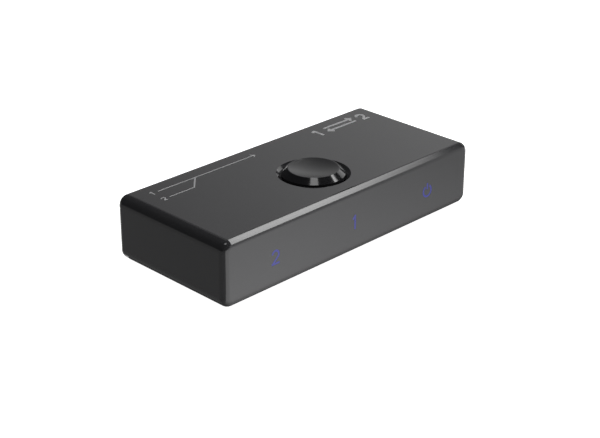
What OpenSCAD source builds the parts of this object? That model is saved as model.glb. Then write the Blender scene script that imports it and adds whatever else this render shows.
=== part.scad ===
// Two-way video switch box: a moulded case with a round push button on top, three lit marks in
// front and a row of sockets behind. Millimetres, X along the length, front at -Y, Z up.
// The origin is the middle of the surface that the four feet stand on.

/* [Case] */
// Length of the case, left to right
case_l = 95; // [86:0.5:120]
// Depth of the case, front to back
case_d = 41.8; // [38:0.2:60]
// Height of the case without its feet
case_h = 18.6; // [17:0.2:26]
// Thickness of the side walls
wall = 2.2; // [2:0.1:2.6]
// Thickness of the top
top_t = 2; // [1.6:0.1:2.4]
// Rounding of the edges round the front and back faces
edge_r = 1.9; // [1:0.1:2]
// Rounding of the corners of the front face
end_r = 2.9; // [2.2:0.1:4]
// Rounding of the upright corners inside the case
inner_r = 1; // [0.6:0.1:1.4]

/* [Bottom cover] */
// Thickness of the bottom cover
cover_t = 1.8; // [1.6:0.1:2.4]
// Gap between the bottom cover and the walls
cover_gap = 0.15; // [0.1:0.05:0.3]
// Diameter of the corner bosses that take the cover screws
boss_d = 6; // [5:0.2:6.4]
// How far a corner boss is sunk into the walls
boss_bite = 0.4; // [0.2:0.1:0.8]
// Diameter of the posts that back up the board under the button
post_d = 4; // [3:0.2:5]
// Distance of those posts from the button's axis
post_x = 8; // [7:0.5:12]

/* [Feet] */
// Diameter of a foot
foot_d = 8; // [6:0.5:10]
// How far a foot stands out of the cover
foot_out = 0.8; // [0.5:0.1:2]
// How deep a foot is let into the cover
foot_in = 0.6; // [0.4:0.1:0.8]
// Rounding of a foot's lower edge
foot_round = 0.45; // [0.2:0.05:0.5]
// Clearance round a foot in its recess
foot_gap = 0.1; // [0.05:0.05:0.2]
// Distance of the feet from the ends of the cover
foot_end = 14; // [12:0.5:18]
// Distance of the feet from the long sides of the cover
foot_side = 6; // [5:0.5:9]

/* [Screws] */
// Diameter of the screw shanks
screw_d = 1.66; // [1.4:0.02:2]
// Clearance round a shank in its boss
screw_gap = 0.02; // [0.01:0.01:0.05]
// Diameter of the screw heads
head_d = 3.8; // [3.4:0.1:4.2]
// Height of the screw heads
head_h = 1.2; // [1:0.1:1.4]
// Length of thread in the case's bosses
thread_l = 5; // [4:0.5:6]
// Clearance round a screw in the board and the cover
through_gap = 0.3; // [0.2:0.05:0.5]

/* [Button] */
// Diameter of the button's top face
cap_top_d = 14.2; // [12:0.2:15]
// Diameter of the button where its flank meets its skirt
cap_base_d = 17.5; // [16:0.2:19]
// How far the button stands above the case
cap_rise = 1.55; // [1:0.05:3]
// Height of the button's slanted flank
cap_flank_h = 1.5; // [0.8:0.05:2]
// Depth of the finger dish in the button's top
cap_dish = 0.85; // [0.3:0.05:1]
// Width of the flat rim round the finger dish
cap_land = 0.25; // [0.15:0.05:0.5]
// Thickness of the button's shell
cap_t = 1.5; // [1.2:0.1:1.8]
// Gap between the button and the hole in the case
cap_gap = 0.3; // [0.2:0.05:0.5]
// Width and depth of the bevel round the hole in the case
hole_bevel = 1.15; // [0.6:0.05:1.3]
// Distance of the button's axis from the case's middle, towards the back
button_y = -5.2; // [-6:0.1:-4]
// How far the button travels when pressed
button_travel = 0.5; // [0.3:0.05:0.6]
// Width of the button's flange outside its skirt
flange_w = 1.6; // [1.2:0.1:2]
// Thickness of the button's flange
flange_t = 1; // [0.8:0.1:1.4]
// Play between the button's flange and the case above it
flange_play = 0.1; // [0.05:0.05:0.2]
// Thickness of the guide collar round the flange
collar_t = 1.2; // [1:0.1:1.6]
// Height of the guide collar
collar_h = 3; // [2.4:0.1:3.4]
// Width of the lugs that stop the button turning
lug_w = 2; // [1.6:0.1:3]
// Diameter of the button's stem
stem_d = 4.6; // [4:0.2:6]

/* [Push switch] */
// Width of the push switch's square base
switch_w = 6.2; // [6:0.1:7]
// Height of the push switch's base
switch_base_h = 3.4; // [3.2:0.1:3.8]
// Height of the push switch to the top of its plunger
switch_h = 5; // [4.6:0.1:6]
// Diameter of the push switch's plunger
plunger_d = 3.5; // [3:0.1:3.6]
// Play between the button, the plunger and the parts above and below them
switch_play = 0.05; // [0.02:0.01:0.08]
// Thickness of the push switch's sheet metal
switch_sheet = 0.3; // [0.2:0.05:0.4]

/* [Board] */
// Thickness of the circuit board
board_t = 1.6; // [1:0.1:1.8]
// Height of the board's underside above the bottom cover
board_lift = 3.4; // [3:0.1:4]
// Gap between the board and the ends, back and bosses of the case
board_gap = 0.6; // [0.4:0.05:0.8]
// Gap between the board and the front wall
board_front_gap = 1.6; // [1.2:0.1:2]
// Diameter of the bosses that the board is screwed to
board_boss_d = 5; // [4.4:0.1:5.2]
// Clearance round pins, tabs and pegs in the board
pin_gap = 0.1; // [0.05:0.05:0.15]
// How far pins and tabs stand out under the board
pin_out = 0.8; // [0.4:0.1:1.2]

/* [Video sockets] */
// Clearance between the end sockets and the corner bosses
row_end = 2.7; // [1.6:0.1:3.2]
// Outside width of a video socket
video_w = 15; // [14.8:0.05:15.2]
// Outside height of a video socket
video_h = 5.6; // [5.4:0.05:5.8]
// Length of a video socket
video_l = 11.5; // [11:0.1:12]
// Thickness of its sheet metal
video_sheet = 0.4; // [0.3:0.05:0.45]
// Width of the slanted lower corners
video_slant_w = 1.9; // [1.6:0.1:2.2]
// Height of the slanted lower corners
video_slant_h = 2; // [1.6:0.1:2.2]
// Height of a video socket's metal above the board
video_lift = 0.4; // [0.2:0.05:0.6]
// Width of the tongue inside
tongue_w = 11.4; // [11:0.1:11.8]
// Thickness of the tongue inside
tongue_t = 1.2; // [1:0.05:1.4]
// Distance of the tongue's tip from the mouth
tongue_back = 1.2; // [0.8:0.1:2]
// Thickness of the block that carries the tongue
block_l = 3.9; // [3:0.1:4.4]
// Width of a contact
contact_w = 0.4; // [0.3:0.05:0.45]
// Thickness of a contact
contact_t = 0.25; // [0.2:0.01:0.3]
// How far a contact stands proud of the tongue
contact_proud = 0.05; // [0.02:0.01:0.08]
// Clearance round a contact in its slot
contact_gap = 0.02; // [0.01:0.01:0.03]

/* [Power socket] */
// Outside width of the power socket
power_w = 8.94; // [8.8:0.02:9.1]
// Outside height of the power socket
power_h = 3.26; // [3.2:0.02:3.4]
// Length of the power socket
power_l = 7.3; // [7:0.1:8]
// Thickness of its sheet metal
power_sheet = 0.3; // [0.2:0.02:0.34]
// Width of its tongue
power_tongue_w = 6.7; // [6.4:0.1:6.8]
// Thickness of its tongue
power_tongue_t = 0.7; // [0.66:0.02:0.8]

/* [Socket openings] */
// Clearance round the sockets in the back wall
port_gap = 0.25; // [0.15:0.05:0.35]
// How far the sockets' mouths lie behind the back face
port_recess = 0.2; // [0:0.05:0.5]

/* [Lit marks] */
// Distance of the outer marks from the ends of the case
mark_end = 17.8; // [16.6:0.1:21]
// Height of the marks' centres above the case's underside
mark_z = 9; // [8.6:0.1:9.4]
// Height of the numerals
mark_h = 4.2; // [3.4:0.1:4.4]
// Diameter of the standby sign's ring
ring_d = 3.8; // [3.2:0.1:4.2]
// Width of the strokes
stroke = 0.55; // [0.4:0.05:0.7]
// Thickness of the front wall at the marks
mark_skin = 0.7; // [0.5:0.05:0.9]
// Clearance round a mark in the wall
mark_gap = 0.03; // [0.02:0.01:0.05]
// Width of a light guide's head
guide_w = 4.6; // [4.4:0.1:5]
// Height of a light guide's head
guide_h = 5.4; // [5.2:0.1:5.6]
// Thickness of a light guide's arm
guide_arm = 3; // [2.4:0.1:3.2]
// Clearance round a light guide's head in its pocket
guide_gap = 0.1; // [0.05:0.05:0.2]
// Height of the gap between a lamp and its light guide
lamp_gap = 0.2; // [0.1:0.05:0.4]
// Height of a lamp
lamp_h = 0.8; // [0.6:0.05:0.9]
// Distance of the lamps from the inside of the front wall
lamp_back = 5.2; // [4.8:0.1:6]

/* [Hidden] */
$fn = 64;

// Heights that the pieces share
z_case = foot_out;
z_top = z_case + case_h;
z_ceiling = z_top - top_t;
z_cover = z_case + cover_t;
z_under = z_cover + board_lift;
z_board = z_under + board_t;

// Inside of the case, and the overlap that fuses one shape to the next
inner_l = case_l - 2 * wall;
inner_d = case_d - 2 * wall;
sink = 0.5;

// Corner bosses and the board between them
boss_x = inner_l / 2 - boss_d / 2 + boss_bite;
boss_y = inner_d / 2 - boss_d / 2 + boss_bite;
board_l = inner_l - 2 * board_gap;
board_front = -inner_d / 2 + board_front_gap;
board_back = inner_d / 2 - board_gap;
notch_x = boss_x - boss_d / 2 - board_gap;
board_edge = 0.8;

// Screws: pilot hole, the hole that a screw passes through, its countersink and its cross recess
pilot_d = screw_d + 2 * screw_gap;
pilot_spare = 2;
through_d = screw_d + 2 * through_gap;
sunk_d = head_d + 2 * screw_gap;
sunk_h = (sunk_d - through_d) * head_h / (head_d - screw_d);
cross_w = 0.5;
cross_l = 2.1;
cross_deep = 0.7;

// The row of sockets, spread evenly between the corner bosses
mouth_y = case_d / 2 - port_recess;
row_l = 2 * (boss_x - boss_d / 2 - row_end);
row_gap = (row_l - 3 * video_w - power_w) / 3;
video_x = [for (i = [0 : 2]) -row_l / 2 + video_w / 2 + i * (video_w + row_gap)];
power_x = row_l / 2 - power_w / 2;

// Places of the four bosses that the board is screwed to: the rear ones stand behind the sockets
front_boss_x = notch_x - board_boss_d / 2 - board_edge;
front_boss_y = board_front + board_boss_d / 2 + board_edge;
rear_boss_y = mouth_y - video_l - board_edge - board_boss_d / 2;
rear_boss_x = [video_x[0] + (video_w + row_gap) / 2, power_x - (power_w + row_gap) / 2];
board_bosses = [
    [-front_boss_x, front_boss_y],
    [front_boss_x, front_boss_y],
    [rear_boss_x[0], rear_boss_y],
    [rear_boss_x[1], rear_boss_y]
];

// Video socket: tongue, contacts and the tabs that hold the metal in the board
tongue_z = video_lift + video_h / 2;
block_gap = 0.05;
block_back = 0.2;
contact_pitch = 1;
upper_contacts = 10;
lower_contacts = 9;
contact_tip = 0.7;
contact_bend = 0.8;
contact_foot = 1.2;
tab_w = 1.2;
tab_x = (video_w - video_sheet) / 2;
tab_places = [5.2, 9.6];
spring_x = 3.4;
spring_w = 1.2;
spring_l = 5;
spring_slit = 0.25;

// Power socket
power_lift = 0.05;
power_mid = power_lift + power_h / 2;
power_block = 1.8;
power_tongue_back = 1;
power_contacts_n = 6;
power_pitch = 0.9;
power_contact_w = 0.3;
power_contact_t = 0.15;
power_bend = [0.2, 1.2];
power_foot = [0.5, 0.6];
power_tab_x = (power_w - power_sheet) / 2;
power_tab_places = [4.2, 6.4];
power_tab_w = 0.9;

// Button: radii and heights of its turned outline
cap_top_r = cap_top_d / 2;
cap_base_r = cap_base_d / 2;
bore_r = cap_base_r + cap_gap;
flange_r = cap_base_r + flange_w;
collar_r = flange_r + cap_gap;
lug_r = collar_r + collar_t;
z_rim = z_top + cap_rise;
z_shoulder = z_rim - cap_flank_h;
z_flange = z_ceiling - flange_play;
z_stem = z_board + switch_h + switch_play;
dish_r = cap_top_r - cap_land;
dish_ball = (dish_r * dish_r + cap_dish * cap_dish) / (2 * cap_dish);
rib_t = 1;

// Push switch: the well with its snap dome, and the plunger's flange under the lid
well_floor = 1.2;
well_step = 0.5;
well_d = plunger_d + 2 * well_step;
well_gap = 0.05;
dome_space = 0.2;
dome_d = well_d - 2 * dome_space;
dome_t = 0.1;
dome_rise = button_travel + dome_t;
dome_ball = (dome_d * dome_d / 4 + dome_rise * dome_rise) / (2 * dome_rise);
lid_h = 1.2;
pin_w = 0.7;
pin_x = 2.6;
pin_y = 2.2;

// Lit marks, the angle by which neighbouring ring parts overlap, lamps and light guides
mark_x = [mark_end - case_l / 2, 0, case_l / 2 - mark_end];
z_mark = z_case + mark_z;
skin_y = -case_d / 2 + mark_skin;
lamp_y = -inner_d / 2 + lamp_back;
lap = 1;
lamp_w = 2;
lamp_d = 1.25;
guide_low = lamp_h + lamp_gap;
guide_flange = 0.5;
peg_d = 1.4;
peg_shoulder = 2;
peg_in = 1.2;
peg_back = 1.2;
peg_y = board_front + peg_back;

// Parts soldered to the board: places and sizes
chip_y = (lamp_y + rear_boss_y) / 2;
video_chip_at = [rear_boss_x[0], chip_y];
video_chip_w = 9;
video_chip_h = 0.9;
control_chip_at = [video_x[2], chip_y];
control_chip_size = [4.9, 3.9, 1.4];
lead_pitch = 1.27;
lead_t = 0.2;
lead_w = 0.4;
lead_reach = 1.05;
regulator_back = 6;
regulator_at = [power_x, mouth_y - power_l - regulator_back];
regulator_size = [6.5, 3.5, 1.6];
regulator_pitch = 2.3;
regulator_reach = 1.75;
regulator_lead_w = 0.7;
heat_tab_w = 3;
crystal_away = 10;
crystal_at = video_chip_at - [crystal_away, 0];
crystal_size = [3.2, 2.5, 0.8];
bulk_size = [3.5, 2.8, 1.9];
bulk_space = 0.8;
small_size = [1, 0.5, 0.5];
small_pitch = 1.7;
small_space = 1;
surge_size = [2.5, 1, 0.6];

// Colours
shell_grey = "#2c2c2e";
button_black = "#1c1c1e";
rubber_black = "#151515";
steel = "#b9bcc0";
gold = "#d6b25e";
board_green = "#1f5a3a";
nylon_black = "#222222";
chip_black = "#26282b";
mark_blue = "#4a4fb0";
lamp_white = "#e8ecff";
guide_clear = "#dfe6f2";
ceramic_tan = "#b08d62";
resin_yellow = "#c89a3c";
resistor_black = "#1d1d1f";

// Repeats its children in the four quarters of the plan
module four_ways() {
    for (mx = [0, 1], my = [0, 1])
        mirror([mx, 0, 0])
            mirror([0, my, 0])
                children();
}

// Flat quarter disc in the first quarter of the plane
module quarter_disc(r) {
    intersection() {
        circle(r);
        square(r);
    }
}

// Flat rectangle with round corners
module rounded_rect(l, d, r) {
    square([l - 2 * r, d], center = true);
    square([l, d - 2 * r], center = true);
    for (mx = [0, 1], my = [0, 1])
        mirror([mx, 0])
            mirror([0, my])
                translate([l / 2 - r, d / 2 - r])
                    quarter_disc(r);
}

// Section through the case's outer edge: out to end_r, with both outer corners rounded by edge_r
module edge_section() {
    translate([0, -case_d / 2])
        square([end_r - edge_r, case_d]);
    translate([end_r - edge_r, -case_d / 2 + edge_r])
        square([edge_r, case_d - 2 * edge_r]);
    for (my = [0, 1])
        mirror([0, my])
            translate([end_r - edge_r, case_d / 2 - edge_r])
                quarter_disc(edge_r);
}

// Solid outer form of the case: the edge section carried round a rounded rectangle
module case_form() {
    straight_l = case_l - 2 * end_r;
    straight_h = case_h - 2 * end_r;
    translate([0, 0, z_case + case_h / 2]) {
        cube([straight_l, case_d, straight_h], center = true);
        for (mz = [0, 1])
            mirror([0, 0, mz])
                translate([0, 0, straight_h / 2])
                    rotate([0, -90, 0])
                        linear_extrude(straight_l, center = true)
                            edge_section();
        for (mx = [0, 1])
            mirror([mx, 0, 0])
                translate([straight_l / 2, 0, 0])
                    linear_extrude(straight_h, center = true)
                        edge_section();
        for (mx = [0, 1], mz = [0, 1])
            mirror([mx, 0, 0])
                mirror([0, 0, mz])
                    translate([straight_l / 2, 0, straight_h / 2])
                        rotate([90, 0, 0])
                            rotate_extrude(angle = 90)
                                edge_section();
    }
}

// A straight stroke between two points of the plane, with square ends
module stroke_bar(from, to, w) {
    run = to - from;
    translate(from)
        rotate(atan2(run[1], run[0]))
            translate([0, -w / 2])
                square([norm(run), w]);
}

// The part of a ring between two angles, less than half a turn apart
module ring_part(outer, inner, start, end) {
    reach = 3 * outer;
    middle = (start + end) / 2;
    intersection() {
        difference() {
            circle(outer);
            circle(inner);
        }
        polygon([
            [0, 0],
            reach * [cos(start), sin(start)],
            reach * [cos(middle), sin(middle)],
            reach * [cos(end), sin(end)]
        ]);
    }
}

// Flat numeral one, centred; grow widens every stroke
module numeral_one(grow) {
    flag = mark_h / 5;
    w = stroke + 2 * grow;
    translate([0, -mark_h / 2 - grow])
        translate([-w / 2, 0])
            square([w, mark_h + 2 * grow]);
    stroke_bar([0, mark_h / 2 - stroke / 2], [-flag, mark_h / 2 - stroke / 2 - flag], w);
}

// Flat numeral two, centred; grow widens every stroke
module numeral_two(grow) {
    bowl = mark_h / 3;
    middle = [0, mark_h / 2 - bowl];
    line = bowl - stroke / 2;
    w = stroke + 2 * grow;
    lean = -35;
    hook = 170;
    halfway = 70;
    knee = middle + line * [cos(lean), sin(lean)];
    toe = [-bowl + stroke / 2, -mark_h / 2 + stroke / 2];
    translate(middle) {
        ring_part(bowl + grow, bowl - stroke - grow, lean, halfway);
        ring_part(bowl + grow, bowl - stroke - grow, halfway - lap, hook);
    }
    stroke_bar(knee, toe, w);
    translate([-bowl - grow, -mark_h / 2 - grow])
        square([2 * bowl + 2 * grow, w]);
}

// Flat standby sign, a ring open at the top round an upright bar; grow widens every stroke
module standby_sign(grow) {
    bar = ring_d / 2;
    opening = 32;
    third = (360 - 2 * opening) / 3;
    w = stroke + 2 * grow;
    translate([0, -stroke / 2]) {
        for (i = [0 : 2])
            rotate(90 + opening + i * third)
                ring_part(ring_d / 2 + grow, ring_d / 2 - stroke - grow, 0, third + (i < 2 ? lap : 0));
        translate([-w / 2, bar / 4 - grow])
            square([w, bar + 2 * grow]);
    }
}

// The three flat marks, left to right: two, one, standby
module flat_mark(place, grow) {
    if (place == 0)
        numeral_two(grow);
    if (place == 1)
        numeral_one(grow);
    if (place == 2)
        standby_sign(grow);
}

// A mark as a solid from the light guide's face to the front face
module mark_solid(place, grow, extra) {
    translate([mark_x[place], skin_y + extra, z_mark])
        rotate([90, 0, 0])
            linear_extrude(mark_skin + 2 * extra)
                flat_mark(place, grow);
}

// Outline of a video socket, taken in by t on every side
function video_outline(t) =
    let (
        lean = atan2(video_slant_h, video_slant_w),
        side = video_w / 2 - t,
        low_x = video_w / 2 - video_slant_w - t * tan(lean / 2),
        low_y = video_slant_h + t * tan((90 - lean) / 2)
    )
    [[-low_x, t], [low_x, t], [side, low_y], [side, video_h - t], [-side, video_h - t], [-side, low_y]];

// A length of the video socket's outline, from a distance inside the mouth, taken in by t
module video_bar(place, t, start, length) {
    translate([video_x[place], mouth_y - start, z_board + video_lift])
        rotate([90, 0, 0])
            linear_extrude(length)
                polygon(video_outline(t));
}

// Flat outline of the power socket with half-round ends, taken in by t
module power_outline(t) {
    r = power_h / 2 - t;
    straight = power_w - power_h;
    square([straight, 2 * r], center = true);
    for (mx = [0, 1], my = [0, 1])
        mirror([mx, 0])
            mirror([0, my])
                translate([straight / 2, 0])
                    quarter_disc(r);
}

// A length of the power socket's outline, from a distance inside the mouth, taken in by t
module power_bar(t, start, length) {
    translate([power_x, mouth_y - start, z_board + power_mid])
        rotate([90, 0, 0])
            linear_extrude(length)
                power_outline(t);
}

// A turned screw standing upright: its head's underside is at z = 0 and its shank runs up
module screw(shank, flat_head) {
    difference() {
        union() {
            cylinder(d = screw_d, h = shank);
            if (flat_head)
                translate([0, 0, -head_h])
                    cylinder(d1 = head_d, d2 = screw_d, h = head_h);
            else
                translate([0, 0, -head_h])
                    cylinder(d = head_d, h = head_h);
        }
        for (turn = [0, 90])
            rotate(turn)
                translate([-cross_l / 2, -cross_w / 2, -head_h - sink])
                    cube([cross_l, cross_w, cross_deep + sink]);
    }
}

// Case: the rounded form, hollowed from below, with its bosses, collar, pockets and openings
module top_shell() {
    collar_z = z_ceiling - collar_h;
    color(shell_grey)
        difference() {
            union() {
                difference() {
                    case_form();
                    translate([0, 0, z_case - sink])
                        linear_extrude(z_ceiling - z_case + sink)
                            rounded_rect(inner_l, inner_d, inner_r);
                }
                four_ways()
                    translate([boss_x, boss_y, z_cover])
                        cylinder(d = boss_d, h = z_ceiling - z_cover + sink);
                for (at = board_bosses)
                    translate([at[0], at[1], z_board])
                        cylinder(d = board_boss_d, h = z_ceiling - z_board + sink);
                translate([0, button_y, collar_z])
                    cylinder(r = lug_r, h = collar_h + sink);
            }
            translate([0, button_y, collar_z - sink]) {
                cylinder(r = collar_r, h = collar_h + sink);
                for (side = [0, 180])
                    rotate(side)
                        translate([0, -lug_w / 2 - cap_gap, 0])
                            cube([lug_r + sink, lug_w + 2 * cap_gap, collar_h + sink]);
            }
            translate([0, button_y, z_ceiling - sink])
                cylinder(r = bore_r, h = top_t + 2 * sink);
            translate([0, button_y, z_top - hole_bevel])
                cylinder(r1 = bore_r, r2 = bore_r + hole_bevel + sink, h = hole_bevel + sink);
            four_ways()
                translate([boss_x, boss_y, z_cover - sink])
                    cylinder(d = pilot_d, h = thread_l + pilot_spare + sink);
            for (at = board_bosses)
                translate([at[0], at[1], z_board - sink])
                    cylinder(d = pilot_d, h = thread_l + pilot_spare + sink);
            for (place = [0 : 2]) {
                mark_solid(place, mark_gap, sink);
                translate([mark_x[place], skin_y, z_mark])
                    translate([-guide_w / 2 - guide_gap, 0, -guide_h / 2 - guide_gap])
                        cube([guide_w + 2 * guide_gap, wall, guide_h + 2 * guide_gap]);
                video_bar(place, -port_gap, -port_recess - sink, wall + 2 * sink);
            }
            power_bar(-port_gap, -port_recess - sink, wall + 2 * sink);
        }
}

// Bottom cover: a plate let into the case, with screw holes, foot recesses and two posts
module bottom_cover() {
    cover_l = inner_l - 2 * cover_gap;
    cover_d = inner_d - 2 * cover_gap;
    color(shell_grey)
        difference() {
            union() {
                translate([0, 0, z_case])
                    linear_extrude(cover_t)
                        rounded_rect(cover_l, cover_d, inner_r);
                for (side = [-1, 1])
                    translate([side * post_x, button_y, z_cover - sink])
                        cylinder(d = post_d, h = board_lift - switch_play + sink);
            }
            four_ways()
                translate([boss_x, boss_y, z_case]) {
                    translate([0, 0, -sink])
                        cylinder(d = through_d, h = cover_t + 2 * sink);
                    cylinder(d1 = sunk_d, d2 = through_d, h = sunk_h);
                }
            four_ways()
                translate([inner_l / 2 - foot_end, inner_d / 2 - foot_side, z_case - sink])
                    cylinder(d = foot_d + 2 * foot_gap, h = foot_in + sink);
        }
}

// Screws that hold the bottom cover to the corner bosses
module cover_screws() {
    color(steel)
        four_ways()
            translate([boss_x, boss_y, z_case + head_h])
                screw(cover_t - head_h + thread_l, true);
}

// Rubber feet with a rounded lower edge
module feet() {
    flat_r = foot_d / 2 - foot_round;
    color(rubber_black)
        four_ways()
            translate([inner_l / 2 - foot_end, inner_d / 2 - foot_side, 0])
                rotate_extrude() {
                    square([flat_r, foot_out + foot_in]);
                    translate([flat_r, foot_round])
                        square([foot_round, foot_out + foot_in - foot_round]);
                    translate([flat_r, foot_round])
                        mirror([0, 1])
                            quarter_disc(foot_round);
                }
}

// Push button: a dished cap with a skirt, a flange under the case, a ribbed stem and two lugs
module button_cap() {
    hollow_r = cap_base_r - cap_t;
    roof = z_rim - cap_dish - cap_t;
    color(button_black)
        translate([0, button_y, 0])
            difference() {
                union() {
                    difference() {
                        rotate_extrude()
                            polygon([
                                [0, z_flange - flange_t],
                                [flange_r, z_flange - flange_t],
                                [flange_r, z_flange],
                                [cap_base_r, z_flange],
                                [cap_base_r, z_shoulder],
                                [cap_top_r, z_rim],
                                [0, z_rim]
                            ]);
                        translate([0, 0, z_flange - flange_t - sink])
                            cylinder(r = hollow_r, h = roof - z_flange + flange_t + sink);
                    }
                    translate([0, 0, z_stem])
                        cylinder(d = stem_d, h = roof - z_stem + sink);
                    for (turn = [45 : 90 : 315])
                        rotate(turn)
                            translate([0, -rib_t / 2, z_flange - flange_t])
                                cube([hollow_r + sink, rib_t, roof - z_flange + flange_t + sink]);
                    for (side = [0, 180])
                        rotate(side)
                            translate([flange_r - sink, -lug_w / 2, z_flange - flange_t])
                                cube([collar_t + sink, lug_w, flange_t]);
                }
                translate([0, 0, z_rim - cap_dish + dish_ball])
                    sphere(dish_ball, $fn = 128);
            }
}

// Places the push switch's pieces over its spot on the board
module at_switch() {
    translate([0, button_y, z_board])
        children();
}

// Push switch base with the well for its dome and plunger
module switch_base() {
    color(nylon_black)
        at_switch()
            difference() {
                translate([-switch_w / 2, -switch_w / 2, 0])
                    cube([switch_w, switch_w, switch_base_h]);
                translate([0, 0, well_floor])
                    cylinder(d = well_d, h = switch_base_h);
            }
}

// Sheet metal lid over the base, folded down on two sides
module switch_lid() {
    color(steel)
        at_switch() {
            difference() {
                translate([-switch_w / 2 - switch_sheet, -switch_w / 2, switch_base_h])
                    cube([switch_w + 2 * switch_sheet, switch_w, switch_sheet]);
                translate([0, 0, switch_base_h - sink])
                    cylinder(d = plunger_d + 2 * well_gap, h = switch_sheet + 2 * sink);
            }
            for (mx = [0, 1])
                mirror([mx, 0, 0])
                    translate([switch_w / 2, -switch_w / 4, switch_base_h - lid_h])
                        cube([switch_sheet, switch_w / 2, lid_h]);
        }
}

// Plunger: a shaft through the lid with a flange that keeps it in the well
module switch_plunger() {
    foot = well_floor + dome_rise + dome_t + switch_play;
    color(nylon_black)
        at_switch() {
            translate([0, 0, foot])
                cylinder(d = plunger_d, h = switch_h - foot);
            translate([0, 0, foot])
                cylinder(d = well_d - 2 * well_gap, h = switch_base_h - switch_play - foot);
        }
}

// Snap dome that the plunger presses flat
module switch_dome() {
    color(gold)
        at_switch()
            translate([0, 0, well_floor])
                intersection() {
                    cylinder(d = dome_d, h = dome_rise + dome_t);
                    translate([0, 0, dome_rise - dome_ball])
                        difference() {
                            sphere(dome_ball + dome_t);
                            sphere(dome_ball);
                        }
                }
}

// Pins that solder the push switch to the board
module switch_pins() {
    color(steel)
        at_switch()
            four_ways()
                translate([pin_x - pin_w / 2, pin_y - switch_sheet / 2, -board_t - pin_out])
                    cube([pin_w, switch_sheet, board_t + pin_out]);
}

// Board with its corner notches and every hole that a screw, pin, tab or peg passes through
module main_board() {
    board_d = board_back - board_front;
    deep = board_t + 2 * sink;
    color(board_green)
        difference() {
            translate([-board_l / 2, board_front, z_under])
                cube([board_l, board_d, board_t]);
            translate([0, 0, z_under - sink]) {
                four_ways()
                    translate([notch_x, boss_y - boss_d / 2 - board_gap, 0])
                        cube([board_l, board_d, deep]);
                for (at = board_bosses)
                    translate([at[0], at[1], 0])
                        cylinder(d = through_d, h = deep);
                translate([0, button_y, 0])
                    four_ways()
                        translate([pin_x - pin_w / 2 - pin_gap, pin_y - switch_sheet / 2 - pin_gap, 0])
                            cube([pin_w + 2 * pin_gap, switch_sheet + 2 * pin_gap, deep]);
                for (x = mark_x)
                    translate([x, peg_y, 0])
                        cylinder(d = peg_d + 2 * pin_gap, h = deep);
                for (x = video_x, back = tab_places, side = [-1, 1])
                    translate([x + side * tab_x, mouth_y - back, deep / 2])
                        cube([video_sheet + 2 * pin_gap, tab_w + 2 * pin_gap, deep], center = true);
                for (back = power_tab_places, side = [-1, 1])
                    translate([power_x + side * power_tab_x, mouth_y - back, deep / 2])
                        cube([power_sheet + 2 * pin_gap, power_tab_w + 2 * pin_gap, deep], center = true);
            }
        }
}

// Screws that hold the board up against its bosses
module board_screws() {
    color(steel)
        for (at = board_bosses)
            translate([at[0], at[1], z_under])
                screw(board_t + thread_l, false);
}

// Folded metal of a video socket, with two springs cut in its top and four tabs through the board
module video_shell(place) {
    roof = z_board + video_lift + video_h;
    color(steel)
        difference() {
            union() {
                difference() {
                    video_bar(place, 0, 0, video_l);
                    video_bar(place, video_sheet, -sink, video_l + 2 * sink);
                }
                for (back = tab_places, side = [-1, 1])
                    translate([video_x[place] + side * tab_x, mouth_y - back, z_under - pin_out])
                        translate([-video_sheet / 2, -tab_w / 2, 0])
                            cube([video_sheet, tab_w, board_t + pin_out + tongue_z]);
            }
            for (side = [-1, 1])
                translate([video_x[place] + side * spring_x, mouth_y - tongue_back, roof])
                    video_spring_slits();
        }
}

// Slits round one spring: two long ones and one across its free end
module video_spring_slits() {
    for (side = [-1, 1])
        translate([side * (spring_w + spring_slit) / 2 - spring_slit / 2, -spring_l, -2 * video_sheet])
            cube([spring_slit, spring_l, 4 * video_sheet]);
    translate([-spring_w / 2 - spring_slit, -spring_slit, -2 * video_sheet])
        cube([spring_w + 2 * spring_slit, spring_slit, 4 * video_sheet]);
}

// Across position of contact i of n, counted from the middle
function contact_x(i, n, pitch) = (i - (n - 1) / 2) * pitch;

// Insulator of a video socket: the tongue, the block behind it and a slot for each contact
module video_insulator(place) {
    block_front = video_l - block_back - block_l;
    tongue_l = block_front - tongue_back + sink;
    low = z_board + tongue_z - tongue_t / 2;
    color(nylon_black)
        difference() {
            union() {
                video_bar(place, video_sheet + block_gap, block_front, block_l);
                translate([video_x[place] - tongue_w / 2, mouth_y - tongue_back - tongue_l, low])
                    cube([tongue_w, tongue_l, tongue_t]);
            }
            for (upper = [true, false])
                video_row(place, upper)
                    video_slot(upper);
        }
}

// Repeats its children at the contacts of the upper or lower row of a video socket
module video_row(place, upper) {
    n = upper ? upper_contacts : lower_contacts;
    for (i = [0 : n - 1])
        translate([video_x[place] + contact_x(i, n, contact_pitch), mouth_y, z_board])
            children();
}

// Slot that one contact of a video socket lies in
module video_slot(upper) {
    low = contact_low(tongue_z, tongue_t, contact_t, contact_proud, upper);
    start = tongue_back + contact_tip - contact_gap;
    slot_w = contact_w + 2 * contact_gap;
    translate([-slot_w / 2, -video_l - sink, low - contact_gap])
        cube([slot_w, video_l + sink - start, contact_t + 2 * contact_gap]);
}

// Underside of a contact that lies on the upper or lower face of a tongue
function contact_low(middle, tongue, t, proud, upper) =
    upper ? middle + tongue / 2 + proud - t : middle - tongue / 2 - proud;

// Side view of a contact: a blade back along the tongue, a bend down and a foot on the board
function contact_path(tip, bend, foot, low, t) = [
    [-tip, low],
    [-tip, low + t],
    [-bend - t, low + t],
    [-bend - t, t],
    [-bend - foot, t],
    [-bend - foot, 0],
    [-bend, 0],
    [-bend, low]
];

// One contact, from its side view in the Y-Z plane, w wide
module contact(path, w) {
    translate([-w / 2, 0, 0])
        rotate([90, 0, 90])
            linear_extrude(w)
                polygon(path);
}

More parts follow.
